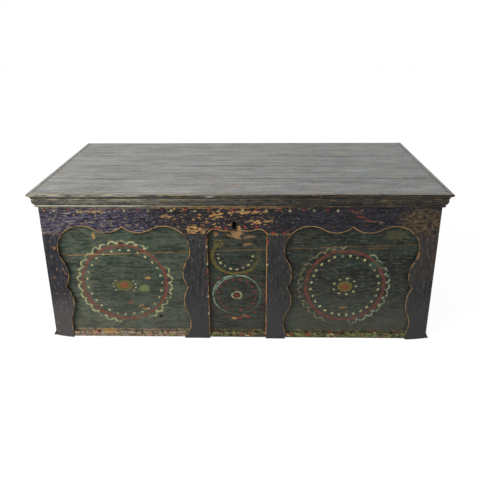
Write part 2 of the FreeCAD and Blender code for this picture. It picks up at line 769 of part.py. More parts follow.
def key_post():
    """Round post that a hollow key turns on, fixed in the back of the case behind the keyhole's head."""
    post = doc.addObject("Part::Cylinder", "key_post")
    post.Placement.Rotation = FreeCAD.Rotation(Vector(1, 0, 0), -90)
    tie(post, "Radius", "post_radius")
    tie(post, "Height", f"{CASE_BACK} - case_wall - {PLATE_FACE}")
    for axis, place in zip("xyz", ("keyhole_side", PLATE_FACE, KEYHOLE_Z)):
        tie(post, f"Placement.Base.{axis}", place)
    return post


def lock_staple():
    """Plate under the lid with a loop that drops into the lock, open for the bolt to pass through."""
    across = (f"({STAPLE_X} - staple_thickness / 2)", f"({STAPLE_X} + staple_thickness / 2)")
    under = f"({RIM} - hasp_thickness)"
    low = f"({BOLT_Z} - bolt_height / 2 - eye_rise)"
    high = f"({BOLT_Z} + bolt_height / 2 + eye_rise)"
    plate = block("staple_plate", (f"({STAPLE_X} - hasp_width / 2)", f"({STAPLE_X} + hasp_width / 2)"),
                  (PLATE_FACE, f"({PLATE_FACE} + hasp_depth)"), (under, RIM))
    loop = block("staple_loop", across, (STAPLE_FRONT, STAPLE_BACK), (f"({low} - staple_leg)", under))
    eye = block("staple_eye", across,
                (f"({STAPLE_FRONT} + staple_leg)", f"({STAPLE_BACK} - staple_leg)"), (low, high))
    return less("lock_staple", join("staple_forging", plate, loop), eye)


# Nails

def nail(point, direction, length, headed):
    """A square-shanked nail from a point, with a low four-sided head behind the point when headed."""
    side, way = number("nail_shank"), Vector(*direction)
    shank = Part.makeBox(side, side, length, Vector(-side / 2, -side / 2, 0))
    shank.Placement = FreeCAD.Placement(Vector(*point), FreeCAD.Rotation(Vector(0, 0, 1), way))
    if not headed:
        return shank
    half, top, height = number("nail_head_half"), number("nail_head_top"), number("nail_head_height")
    head = Part.makeWedge(-half, 0, -half, -top, -top, half, height, half, top, top)
    head.Placement = FreeCAD.Placement(Vector(*point), FreeCAD.Rotation(Vector(0, 1, 0), -way))
    return shank.fuse(head).removeSplitter()


def nails(label, points, direction, length, headed=False):
    """A group of like nails, all driven the same way."""
    group = doc.addObject("Part::Feature", label)
    group.Shape = Part.makeCompound([nail(point, direction, length, headed) for point in points])
    return group


def spread(low, high, count):
    """Evenly spaced places from low to high."""
    return [low + (high - low) * step / (count - 1) for step in range(count)]


def frame_nails():
    """Nails through the frame into the front boards, set below the surface and painted over."""
    y, margin, side = number(f"{FRAME_FACE} + nail_sink"), number("nail_margin"), number(BODY_SIDE)
    shift, offset = number("field_shift"), number(BAY_OFFSET)
    stile = number("centre_half + middle_stile / 2")
    rail_height = number(f"({RIM} + {HEAD_SPRING} + head_point) / 2")
    points = [(x, y, rail_height) for x in spread(-side + margin, side - margin, 6)]
    for x in (-side + margin, shift - stile, shift + stile, side - margin):
        points += [(x, y, z) for z in spread(2 * margin, number(RAIL_JOINT) - margin, 3)]
    strip_y = number(f"{BOARD_FACE} - strip_thickness + nail_sink")
    strip_height = number("strip_lift + strip_height / 2")
    ear, quarter = number(EAR_ACROSS), number("centre_half / 2")
    for middle, reach in ((shift - offset, ear), (shift, quarter), (shift + offset, ear)):
        points += [(middle + way * reach, strip_y, strip_height) for way in (-1, 1)]
    return nails("frame_nails", points, (0, 1, 0), number("frame_thickness - nail_sink + nail_bite"))


def bottom_nails():
    """Nails up through the bottom boards into the walls, their ends sunk flush under the chest."""
    half, margin, low = number(f"{BODY_SIDE} - wall / 2"), 3 * number("nail_margin"), number("nail_sink")
    front, back = number(f"{BOARD_FACE} + wall / 2"), number(f"{INNER_BACK} + wall / 2")
    points = [(x, y, low) for y in (front, back) for x in spread(-half + margin, half - margin, 5)]
    points += [(side * half, y, low) for side in (-1, 1) for y in spread(front + margin, back - margin, 4)]
    length = number("bottom_thickness - nail_sink + bottom_nail_bite")
    return nails("bottom_nails", points, (0, 0, 1), length)


def base_strip_nails(side):
    """Nails through a base strip into the ends of the bottom boards."""
    name = "left" if side < 0 else "right"
    margin, height = 3 * number("nail_margin"), number("bottom_thickness / 2")
    slope = number("(base_thickness - base_lip) / (base_height - base_foot)")
    thick = number("base_lip") + slope * (number("base_height - nail_shank / 2") - height)
    x = side * number(f"{BODY_SIDE} - nail_sink + {thick}")
    points = [(x, y, height) for y in spread(number(FRAME_FACE) + margin, number(BACK_FACE) - margin, 3)]
    length = thick + number("nail_bite - nail_sink")
    return nails(f"{name}_base_strip_nails", points, (-side, 0, 0), length)


def moulding_sprigs():
    """Headless sprigs through the lid mouldings into the lid boards, set below the surface."""
    height = number("chest_height - lid_thickness / 2")
    margin, sink = 3 * number("nail_margin"), number(f"{MOULDING_WAIST} - nail_sink")
    length = sink + number("nail_bite")
    half, front = number(BOARD_SIDE), number(f"{LID_FRONT} + moulding_reach")
    group = [nail((x, front - sink, height), (0, 1, 0), length, False)
             for x in spread(-half + margin, half - margin, 6)]
    for side in (-1, 1):
        group += [nail((side * (half + sink), y, height), (-side, 0, 0), length, False)
                  for y in spread(front + margin, number(BACK_FACE) - margin, 4)]
    feature = doc.addObject("Part::Feature", "moulding_sprigs")
    feature.Shape = Part.makeCompound(group)
    return feature


def strap_nails():
    """Nails up through both lid straps into the lid boards."""
    low = number(f"{RIM} - strap_thickness")
    ends = number(f"{INNER_BACK} - nail_margin"), number(f"{AXIS_Y} - strap_length + strap_tip / 2")
    points = [(side * number(HINGE_X), y, low) for side in (-1, 1) for y in spread(*ends, 5)]
    return nails("hinge_strap_nails", points, (0, 0, 1), number("strap_thickness + nail_bite"), True)


def leaf_nails():
    """Nails through both hinge leaves into the back board."""
    y = number(f"{BACK_FACE} + leaf_thickness")
    top, low = number(f"{AXIS_Z} - nail_margin"), number(f"{AXIS_Z} - leaf_height + leaf_foot / 2")
    wide, narrow = number("leaf_width / 2 - nail_margin / 2"), number("leaf_foot / 4")
    points = []
    for side in (-1, 1):
        x = side * number(HINGE_X)
        points += [(x - wide, y, top), (x + wide, y, top), (x - narrow, y, low), (x + narrow, y, low)]
    return nails("hinge_leaf_nails", points, (0, -1, 0), number("leaf_thickness + nail_bite"), True)


def lock_nails():
    """Nails through the corners of the lock plate into the front board, beside the case."""
    x, y = number("keyhole_side"), number(PLATE_FACE)
    reach = number(f"(plate_half + {CASE_HALF}) / 2")
    heights = number(f"{PLATE_TOP} - nail_margin"), number(f"{PLATE_LOW} + nail_margin")
    points = [(x + side * reach, y, z) for side in (-1, 1) for z in heights]
    return nails("lock_nails", points, (0, -1, 0), number("plate_thickness + nail_bite"), True)


def staple_nails():
    """Nails up through the staple's plate into the lid."""
    x, reach = number(STAPLE_X), number("hasp_width / 2 - nail_margin / 2")
    y = number(f"({STAPLE_BACK} + {PLATE_FACE} + hasp_depth) / 2")
    z = number(f"{RIM} - hasp_thickness")
    points = [(x - reach, y, z), (x, y, z), (x + reach, y, z)]
    return nails("staple_nails", points, (0, 0, 1), number("hasp_thickness + nail_bite"), True)


def batten_nails():
    """Nails up through both battens, one into each lid board."""
    z = number(f"{RIM} - batten_thickness")
    front, back = number(f"{INNER_FRONT} + batten_front_room"), number(f"{INNER_BACK} - batten_back_room")
    joints = [number(f"{LID_FRONT} + {name}") for name in
              ("lid_joint_front", "lid_joint_middle", "lid_joint_back")]
    edges = [front, *joints, back]
    places = [(low + high) / 2 for low, high in zip(edges, edges[1:])]
    points = [(side * number(BATTEN_X), y, z) for side in (-1, 1) for y in places]
    return nails("batten_nails", points, (0, 0, 1), number("batten_thickness + nail_bite"), True)


# Assembly: make every piece, then drill each for the nails that pass through it

front = front_boards()
back = back_boards()
tails = join("tails", *front, *back)
uprights = stiles()
frame = join("frame_outline", *uprights)
driven = [frame_nails(), bottom_nails(), base_strip_nails(-1), base_strip_nails(1), moulding_sprigs()]
driven += [strap_nails(), leaf_nails(), lock_nails(), staple_nails(), batten_nails()]
pieces = front + back + end_boards(tails) + bottom_boards()
pieces += [top_rail()] + uprights + foot_strips(frame) + base_strips()
pieces += lid_boards() + lid_mouldings() + lid_battens()
pieces += [lock_plate(), lock_staple()]
plain = [lock_case(), lock_bolt(), bolt_spring(), key_post()] + bolt_guides()
for name, side in (("left", -1), ("right", 1)):
    place = f"({side} * {HINGE_X})"
    pieces += [hinge_strap(f"{name}_hinge_strap", place), hinge_leaf(f"{name}_hinge_leaf", place)]
    plain.append(hinge_pin(f"{name}_hinge_pin", place))
all_nails = doc.addObject("Part::Compound", "all_nails")
all_nails.Links = driven
finished = driven + plain
for piece in pieces:
    node = piece.Label
    piece.Label = node + "_undrilled"
    drilled = less(node + "_drilled", piece, all_nails)
    drilled.Label = node
    finished.append(drilled)
doc.recompute()

# Every object is sound before anything is written
for item in doc.Objects:
    if "Invalid" in item.State or "Error" in item.State:
        raise RuntimeError(f"{item.Label} did not build: {item.State}")
for piece in finished:
    if piece.Shape.isNull() or not piece.Shape.isValid() or not piece.Shape.Solids:
        raise RuntimeError(f"{piece.Label} has no sound solid")

os.makedirs("parts", exist_ok=True)
for piece in finished:
    piece.Shape.exportStep(os.path.join("parts", piece.Label + ".step"))
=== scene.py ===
import json
import math
import random

import bmesh
import bpy
from mathutils import Matrix, Vector, noise

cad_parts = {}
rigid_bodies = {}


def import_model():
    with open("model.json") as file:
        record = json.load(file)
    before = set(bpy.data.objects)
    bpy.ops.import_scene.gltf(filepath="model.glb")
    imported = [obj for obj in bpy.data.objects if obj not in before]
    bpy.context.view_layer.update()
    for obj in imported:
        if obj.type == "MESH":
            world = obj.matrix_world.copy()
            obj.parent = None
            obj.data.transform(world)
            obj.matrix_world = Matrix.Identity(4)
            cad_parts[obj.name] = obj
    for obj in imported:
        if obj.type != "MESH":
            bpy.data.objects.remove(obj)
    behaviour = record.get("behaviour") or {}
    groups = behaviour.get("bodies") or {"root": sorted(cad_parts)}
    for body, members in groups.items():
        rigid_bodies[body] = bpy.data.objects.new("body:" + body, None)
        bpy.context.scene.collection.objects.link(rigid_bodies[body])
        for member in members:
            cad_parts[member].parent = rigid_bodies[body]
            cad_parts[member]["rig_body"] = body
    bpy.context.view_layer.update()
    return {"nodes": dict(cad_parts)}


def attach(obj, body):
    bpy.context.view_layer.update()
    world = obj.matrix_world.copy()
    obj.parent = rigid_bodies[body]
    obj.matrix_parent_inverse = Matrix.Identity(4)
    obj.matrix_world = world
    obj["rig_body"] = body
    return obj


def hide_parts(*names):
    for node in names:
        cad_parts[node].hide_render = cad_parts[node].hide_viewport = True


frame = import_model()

MM = 0.001
TURN = 2 * math.pi

# How the wood and the iron are aged: sizes in metres, angles in radians
WELD = 0.01 * MM
FLAT = math.radians(1)
SHARP = math.radians(28)
SMOOTH = math.radians(50)
NAIL_ROOM = 0.1 * MM
NAIL_SINK = 3 * MM
ARRIS_ROUNDS = 2

# Where the front's bays and the body's ends lie, in millimetres
LEFT_BAY_END = -118
CENTRE_BAY_END = 110
BODY_SIDE = 578
# Heights of the painted marks are measured from a line this far above the floor
MARK_LINE = 6


def extent(node, axis, end):
    """How far a node reaches along an axis, min or max, in millimetres."""
    return end(vert.co[axis] for vert in frame["nodes"][node].data.vertices) / MM


LID_FRONT = extent("lid_moulding_front", 1, min)
BODY_BACK = extent("back_board_lower", 1, max)
RAIL_FOOT = extent("top_rail", 2, min) - MARK_LINE
STRIP_HEAD = extent("centre_foot_strip", 2, max) - MARK_LINE
# How far the dabs on the foot strips run up on to the panels
DAB_REACH = 7


def seen(red, green, blue):
    """The linear colour of one that is seen as red, green and blue out of 255."""
    parts = []
    for part in (red, green, blue):
        share = part / 255
        parts.append(share / 12.92 if share <= 0.04045 else ((share + 0.055) / 1.055) ** 2.4)
    return tuple(parts)


# Paints and bare wood that several pieces share
CREAM = seen(178, 170, 122)
RED = seen(112, 56, 45)
FLOWER_RED = seen(130, 66, 40)
DOT_RED = seen(132, 48, 40)
OLIVE = seen(96, 88, 38)
PALE_GREEN = seen(104, 122, 98)
OCHRE = seen(164, 126, 74)
DEEP_OCHRE = seen(126, 98, 62)
TAN = seen(160, 134, 94)
GOLD = seen(190, 146, 84)


# Shading: values that plain arithmetic can be done with

class Term:
    """One value of a material that is being made."""

    def __init__(self, shade, socket):
        self.shade = shade
        self.socket = socket

    def __add__(self, other):
        return self.shade.math("ADD", self, other)

    def __sub__(self, other):
        return self.shade.math("SUBTRACT", self, other)

    def __rsub__(self, other):
        return self.shade.math("SUBTRACT", other, self)

    def __mul__(self, other):
        return self.shade.math("MULTIPLY", self, other)

    def __truediv__(self, other):
        return self.shade.math("DIVIDE", self, other)

    def __abs__(self):
        return self.shade.math("ABSOLUTE", self)

    __radd__ = __add__


class Shade:
    """A material that is being made, with places in millimetres in the part's own frame."""

    def __init__(self, name):
        self.material = bpy.data.materials.new(name)
        self.material.use_nodes = True
        self.tree = self.material.node_tree
        self.surface = self.tree.nodes["Principled BSDF"]
        object_place = self.node("TexCoord").outputs["Object"]
        scaled = self.node("VectorMath")
        scaled.operation = "SCALE"
        scaled.inputs["Scale"].default_value = 1 / MM
        self.tree.links.new(object_place, scaled.inputs[0])
        split = self.node("SeparateXYZ")
        self.tree.links.new(scaled.outputs[0], split.inputs[0])
        self.x, self.y, self.z = (Term(self, socket) for socket in split.outputs)
        self.z = self.z - MARK_LINE
        self.board = self.attribute("board")
        self.arris = self.attribute("arris")
        self.paint = None

    def node(self, kind):
        """A new node of a kind."""
        return self.tree.nodes.new("ShaderNode" + kind)

    def feed(self, socket, value):
        """Gives a socket another value of the material, a colour or a number."""
        if isinstance(value, Term):
            self.tree.links.new(value.socket, socket)
        elif isinstance(value, tuple):
            socket.default_value = value + (1,)
        else:
            socket.default_value = value

    def fill(self, node, values):
        """Gives the sockets of a node values by their names or numbers."""
        for socket, value in values.items():
            self.feed(node.inputs[socket], value)

    def math(self, operation, *values):
        """The result of one arithmetic operation."""
        node = self.node("Math")
        node.operation = operation
        for socket, value in zip(node.inputs, values):
            self.feed(socket, value)
        return Term(self, node.outputs[0])

    def length(self, first, second):
        """How far a place is from the middle of two axes."""
        return self.math("SQRT", first * first + second * second)

    def attribute(self, name):
        """A value that the meshes carry."""
        node = self.node("Attribute")
        node.attribute_name = name
        return Term(self, node.outputs["Fac"])

    def step(self, value, low, high):
        """0 at low and 1 at high, smooth between them; high may be the smaller one."""
        node = self.node("MapRange")
        node.interpolation_type = "SMOOTHSTEP"
        self.fill(node, {"Value": value, "From Min": low, "From Max": high})
        return Term(self, node.outputs["Result"])

    def noise(self, first, second, third=0, detail=4, rough=0.55):
        """Clouds about a half, one wide in each of the three places given."""
        join = self.node("CombineXYZ")
        self.fill(join, {"X": first, "Y": second, "Z": third})
        node = self.node("TexNoise")
        place = Term(self, join.outputs[0])
        self.fill(node, {"Vector": place, "Scale": 1, "Detail": detail, "Roughness": rough})
        return Term(self, node.outputs[0])

    def mix(self, first, second, share):
        """The first colour where share is 0, the second where it is 1."""
        node = self.node("Mix")
        node.data_type = "RGBA"
        self.fill(node, {0: share, 6: first, 7: second})
        return Term(self, node.outputs[2])

    def prime(self, dark, light, tone):
        """Starts the paint: dark where tone is 0, light where it is 1."""
        self.paint = self.mix(dark, light, tone)

    def lay(self, tint, share):
        """Lays a tint over the paint, as strong as share."""
        self.paint = self.mix(self.paint, tint, share)

    def most(self, first, second):
        """The greater of two values."""
        return self.math("MAXIMUM", first, second)

    def flecks(self, along, across, size, seed, low):
        """1 on flecks of about the given length and height; a higher low leaves fewer of them."""
        field = self.noise(along / size[0], across / size[1], seed, rough=0.62)
        return self.step(field, low, low + 0.05)

    def worn(self, seed, low):
        """How much of a brush stroke is left, from 0 to 1."""
        field = self.noise(self.x / 15, self.z / 11, seed, detail=5, rough=0.68)
        return self.step(field, low, low + 0.14)

    def grain(self, axis):
        """Places along, across and through a board whose grain runs along an axis."""
        return {
            "x": (self.x, self.z, self.y),
            "y": (self.y, self.z, self.x),
            "z": (self.z, self.x, self.y),
        }[axis]

    def fibres(self, axis, length, width, lot, detail, rough=0.55):
        """Clouds drawn out along the grain of a board, other ones for each lot."""
        along, across, through = self.grain(axis)
        return self.noise(along / length, across / width + lot, through / width, detail, rough)

    def finish(self, roughness, height, depth, gloss, metal=0):
        """Ends the material; depth is the relief's height in millimetres."""
        bump = self.node("Bump")
        self.fill(bump, {"Strength": 1, "Distance": depth * MM, "Height": height})
        self.fill(self.surface, {
            "Base Color": self.paint, "Roughness": roughness, "Metallic": metal, "Specular IOR Level": gloss,
            "Normal": Term(self, bump.outputs[0])})
        return self.material


class Oval:
    """Places about an oval line: off is how far outside it, turn goes from 0 to 1 round it."""

    def __init__(self, shade, x, z, centre, radii):
        self.shade = shade
        self.across = (x - centre[0]) / radii[0]
        self.up = (z - centre[1]) / radii[1]
        self.mean = (radii[0] + radii[1]) / 2
        reach = shade.length(self.across, self.up)
        self.off = (reach - 1) * self.mean
        self.turn = shade.math("ARCTAN2", self.up, self.across) / TURN + 0.5

    def stroke(self, half, at=0):
        """A line of the given half width, at a distance outside the oval."""
        return self.shade.step(abs(self.off - at), half + 1.2, half - 0.8)

    def gap(self, middle, half):
        """0 on a stretch of the oval that is worn away, 1 off it."""
        return self.shade.step(abs(self.turn - middle), half * 0.6, half)

    def disc(self):
        """1 inside the oval."""
        return self.shade.step(self.off, 0.9, -0.9)

    def local(self, count, at):
        """Places about the middle of each of a number of marks round the oval."""
        cell = self.shade.math("FRACT", self.turn * count) - 0.5
        return cell * (TURN * (self.mean + at) / count), self.off - at

    def dots(self, count, at, wide, high):
        """Dots of the given half sizes round the oval, at a distance outside it."""
        side, out = self.local(count, at)
        return self.shade.step(self.shade.length(side / wide, out / high), 1.2, 0.8)

    def lobes(self, count, at, radius, half):
        """Half rings that stand side by side on the oval."""
        side, out = self.local(count, at)
        reach = self.shade.length(side, out)
        line = self.shade.step(abs(reach - radius), half + 0.9, half - 0.9)
        return line * self.shade.step(out, -1.5, 1)


def spot(shade, x, z, centre, radii, rag=0.5, ragged=0, edge=(1.15, 0.8)):
    """An oval dab with a soft edge, torn where rag differs from a half."""
    across = (x - centre[0]) / radii[0]
    up = (z - centre[1]) / radii[1]
    reach = shade.length(across, up)
    if ragged:
        reach = reach + (rag - 0.5) * ragged
    return shade.step(reach, *edge)


# Materials

# Long cracks and larger stains of the lid: the middle of each and its half length
LID_CRACKS = (
    ((-461, 113), 110), ((-582, 44), 21), ((-110, -15), 91), ((-125, -165), 20),
    ((267, 53), 68), ((-330, -120), 60), ((430, -230), 50),
)
RUST_STAIN = seen(146, 112, 86)
BLUE_STAIN = seen(134, 156, 160)
LID_STAINS = (
    (RUST_STAIN, (-571, -108), 20), (BLUE_STAIN, (-198, -49), 67),
    (RUST_STAIN, (-15, -244), 11), (BLUE_STAIN, (370, -83), 32),
    (TAN, (337, 167), 23), (TAN, (482, -166), 12),
)


def lid_paint():
    """Worn paint of the lid's top, grey from the paint itself and from a painted sheen, with long streaks,
    cracks and a few flecks of colour.
    """
    shade = Shade("lid_paint_worn")
    x, y, lot = shade.x, shade.y, shade.board * 90
    streak = shade.noise(x / 300, y / 16, lot, detail=5, rough=0.6)
    fibre = shade.noise(x / 28, y / 8, lot, rough=0.68)
    cloud = shade.noise(x / 280, y / 140, 3, detail=2)
    stain = shade.noise(x / 120, y / 45, lot + 5, rough=0.6)
    grit = shade.noise(x / 5, y / 16, 99, detail=2) - 0.5
    tone = shade.step(streak * 0.32 + fibre * 0.3 + stain * 0.38 + grit * 0.25, 0.37, 0.62)
    # Lighter at the left and darker to the right: painted light, falling off away from the light at the left
    to_right = shade.step(x, -350, 350)
    deep = shade.mix(seen(94, 94, 90), seen(71, 71, 70), to_right)
    light = shade.mix(seen(147, 147, 143), seen(130, 130, 128), to_right)
    shade.prime(deep, light, tone)
    for tint, seed in ((seen(104, 118, 126), 13), (seen(134, 122, 98), 19)):
        wash = shade.step(shade.noise(x / 130, y / 30, seed, rough=0.62), 0.52, 0.66)
        shade.lay(tint, wash * 0.35)
    vein = abs(shade.noise(x / 700, y / 22, lot + 7, detail=2) - 0.5)
    crack = shade.step(vein, 0.012, 0.003) * shade.step(cloud, 0.42, 0.58)
    for tint, size, seed, low in (
            (TAN, (36, 12), 21, 0.6), (seen(128, 152, 160), (44, 9), 33, 0.63),
            (seen(136, 92, 72), (30, 10), 45, 0.645), (seen(136, 138, 96), (36, 11), 57, 0.63),
            (seen(52, 52, 50), (60, 8), 69, 0.62)):
        shade.lay(tint, shade.flecks(x, y, size, seed, low) * 0.5)
    sway = shade.noise(x / 60, y / 60, 75, detail=3) * 14 - 7
    for tint, place, half in LID_STAINS:
        stained = spot(shade, x, y + sway, place, (half, 7), fibre, 2.6)
        shade.lay(tint, stained * 0.85)
    for place, half in LID_CRACKS:
        crack = shade.most(crack, spot(shade, x, y + sway, place, (half, 2.2), fibre, 1.6))
    shade.lay(seen(46, 45, 42), crack * 0.8)
    shade.lay(seen(26, 25, 23), shade.arris * (shade.step(cloud, 0.3, 0.52) * 0.4 + 0.6))
    rubbed = shade.step(y, LID_FRONT + 9, LID_FRONT + 3) * shade.step(fibre, 0.36, 0.5)
    shade.lay(TAN, rubbed * 0.8)
    height = streak * 0.5 + fibre * 0.5 - crack
    return shade.finish(0.4 + fibre * 0.2, height, 0.4, 0.5)


# Heights of the lid moulding's members
NOSE_TOP = 474
OVOLO_TOP = 457
BEAD_TOP = 436.5
BEAD_FOOT = 430
# Where a chip has left the front moulding pale: its middle, half length and half height
CHIP = (-79, 466)
CHIP_RADII = (13, 2.8)


def band(shade, height, half):
    """1 along a level line of the given half width."""
    return shade.step(abs(shade.z - height), half, half * 0.3)


def front_lines(shade, rub):
    """The front moulding's rubbed lip, golden in the middle, its white lines at the left, which are worn
    paint and painted highlights, and its chip.
    """
    x, z = shade.x, shade.z
    golden = shade.step(x, -200, -110)
    lip = band(shade, BEAD_FOOT + 1.2, 2.2) * shade.step(rub, 0.36, 0.48)
    lip = lip * shade.step(x, 190, 60)
    shade.lay(shade.mix(seen(158, 152, 128), GOLD, golden), lip * 0.85)
    # White lines along the nose and the bead at the left: worn paint and painted highlights
    streaks = band(shade, NOSE_TOP - 5, 2.4) * shade.step(rub, 0.46, 0.54)
    white = shade.most(band(shade, BEAD_TOP - 1.5, 1.8), streaks) * shade.step(x, -230, -330)
    shade.lay(seen(176, 176, 166), white * 0.7)
    shade.lay(seen(176, 176, 178), spot(shade, x, z, CHIP, CHIP_RADII, rub, 1.2))


def moulding_paint(axis):
    """Grey-green paint of the lid's mouldings, rubbed along the arrises; lighter at the left and darker to
    the right as painted light and reflection, with dirt and painted shade in the hollows and wear and painted
    highlights on the ridges.
    """
    shade = Shade("moulding_paint_" + axis)
    along, across = shade.grain(axis)[:2]
    lot = shade.board * 40
    streak = shade.fibres(axis, 150, 3.5, lot, 4, 0.6)
    fibre = shade.fibres(axis, 22, 3, lot, 4, 0.65)
    tone = shade.step(streak * 0.55 + fibre * 0.45, 0.4, 0.62)
    # Lighter at the left and darker to the right: painted reflection and light, falling off away from the
    # light at the left
    to_right = shade.step(shade.x, -430, 260)
    deep = shade.mix(seen(42, 42, 39), seen(16, 16, 15), to_right)
    light = shade.mix(seen(112, 111, 102), seen(56, 53, 47), to_right)
    shade.prime(deep, light, tone)
    rub = shade.fibres(axis, 45, 5, lot, 4, 0.65)
    shade.lay(DEEP_OCHRE, shade.step(rub, 0.57, 0.64) * 0.6)
    bare = shade.arris * shade.step(rub, 0.4, 0.52)
    # Dark lines in the hollows: dirt and painted shade, stronger at the left
    hollows = shade.most(band(shade, OVOLO_TOP + 3, 2.4), band(shade, BEAD_TOP + 2, 2.2))
    shade.lay(seen(18, 18, 16), hollows * (0.7 - to_right * 0.6))
    # Pale lines on the ridges: wear and painted highlights, fading to the right
    ridges = shade.most(band(shade, OVOLO_TOP - 1.5, 2.2), band(shade, BEAD_TOP - 1.5, 2.6))
    ridges = shade.most(ridges, band(shade, NOSE_TOP - 2, 2.6))
    bare = shade.most(bare, ridges * shade.step(rub, 0.42, 0.56) * (1 - to_right * 0.95))
    rubbed = shade.mix(seen(160, 150, 122), seen(120, 102, 74), to_right)
    shade.lay(rubbed, bare * 0.75)
    for tint, size, seed in ((seen(164, 160, 144), (16, 4), 15), (seen(104, 80, 56), (20, 4), 27),
                             (seen(28, 28, 26), (14, 4), 39)):
        fleck = shade.flecks(along, across, size, seed, 0.6)
        shade.lay(tint, fleck * (0.7 - to_right * 0.4))
    if axis == "x":
        front_lines(shade, rub)
    height = streak * 0.5 + fibre * 0.4 - bare * 0.3
    return shade.finish(0.48 + fibre * 0.2, height, 0.35, 0.2)


# The frame's paint by the way of its grain: dark and light, then dark and light at the left, which are
# lighter partly as painted light falling off towards the right
FRAME_TONES = {
    "x": (seen(4, 4, 9), seen(42, 40, 46), seen(12, 13, 28), seen(70, 68, 86)),
    "z": (seen(27, 27, 28), seen(53, 52, 51), seen(18, 18, 23), seen(49, 48, 53)),
}
# The joint under the rail is a bare line only over the middle right stile, about this place
BARE_SEAM = 118


def frame_paint(axis):
    """Navy to charcoal paint of the fretwork, scraped along its grain and bare on the cut edges."""
    shade = Shade("frame_paint_" + axis)
    x, z, lot = shade.x, shade.z, shade.board * 60
    # Towards the left the paint is lighter and bluer, partly as painted light
    to_left = shade.step(x, -130, -400)
    streak = shade.fibres(axis, 50, 6, lot, 5, 0.62)
    fine = shade.fibres(axis, 12, 4.5, lot, 6, 0.7)
    tone = shade.step(streak * 0.45 + fine * 0.55, 0.41, 0.62)
    dark, light, left_dark, left_light = FRAME_TONES[axis]
    shade.prime(shade.mix(dark, left_dark, to_left), shade.mix(light, left_light, to_left), tone)
    worn = rail_wear(shade, to_left) if axis == "x" else stile_wear(shade, to_left, lot)
    rub = shade.noise(x / 24, z / 24, 12 + lot, rough=0.65)
    inside = shade.step(abs(x), BODY_SIDE - 1, BODY_SIDE - 8) * shade.step(z, -2, 6)
    kept_from = 0.3 if axis == "x" else 0.38
    seam = shade.step(abs(x - BARE_SEAM), 46, 38) * 0.8
    joint = shade.step(abs(z - RAIL_FOOT), 5, 2) * (1 - seam)
    bare = shade.arris * shade.step(rub, kept_from, kept_from + 0.18) * inside * (1 - joint * 0.8)
    edge = seen(208, 164, 100) if axis == "x" else OCHRE
    dull = 0.85 - shade.step(x, 120, 320) * 0.25
    shade.lay(shade.mix(DEEP_OCHRE, edge, shade.step(streak, 0.3, 0.5)), bare * dull)
    if axis == "x":
        rail_dots(shade)
    else:
        edge_dots(shade)
    height = streak * 0.5 + fine * 0.4 - worn * 0.6 - bare * 0.3
    return shade.finish(0.55 + fine * 0.2, height, 0.45, 0.2)


# The keyhole's rim on the rail
KEYHOLE_MIDDLE = (-12, 366.6)
KEYHOLE_RADII = (6.5, 12)
# Where the rail is scraped to the wood: middle, half length and half height
RAIL_SCRAPES = (
    ((-122, 359), (34, 15)), ((-65, 405), (24, 11)), ((-93, 384), (13, 6)),
    ((-207, 400), (20, 7)), ((-420, 415), (46, 4)), ((62, 384), (40, 9)),
    ((20, 413), (60, 4.5)), ((395, 386), (30, 4)), ((2, 364), (9, 12)),
)
# Heights of the rail's two rubbed lines, and the middles of the lower one's dashes
UPPER_LINE = 428.4
LOWER_LINE = 417
DASHES = (30, -420)
# The brown end of the rail: middle, then half length and half height
RAIL_END = (526, 388), (66, 40)
# Faint red strokes beside it, and how they slope
STROKE_SLOPE = 0.2
STROKE_DROP = 72
RAIL_STROKES = (((350, 398), (17, 3)), ((374, 391), (14, 3)), ((338, 409), (18, 2.6)))


def rail_lines(shade):
    """Two lines rubbed bare along the rail, the lower one in two dashes."""
    x, z = shade.x, shade.z
    sway = shade.noise(x / 150, 71, detail=1) * 4
    upper = shade.step(abs(z + sway - UPPER_LINE), 2.4, 0.7) * shade.step(x, 330, 60)
    first, second = (shade.step(abs(x - middle), 62, 40) for middle in DASHES)
    lower = shade.step(abs(z + sway - LOWER_LINE), 2.2, 0.7) * shade.most(first, second)
    return shade.most(upper, lower)


def rail_end(shade, field, rag):
    """The rail's mottled brown end and the faint red strokes beside it."""
    x, z = shade.x, shade.z
    brown = spot(shade, x, z, *RAIL_END, rag, 1.6)
    mottled = shade.mix(seen(28, 25, 21), seen(98, 82, 58), shade.step(field, 0.42, 0.6))
    shade.lay(mottled, brown * 0.75)
    yellow = shade.flecks(x, z, (9, 7), 97, 0.6)
    shade.lay(seen(140, 116, 70), yellow * brown * 0.6)
    sloped = z + x * STROKE_SLOPE - STROKE_DROP
    for place, radii in RAIL_STROKES:
        shade.lay(RED, spot(shade, x, sloped, place, radii, rag, 1.2) * 0.6)


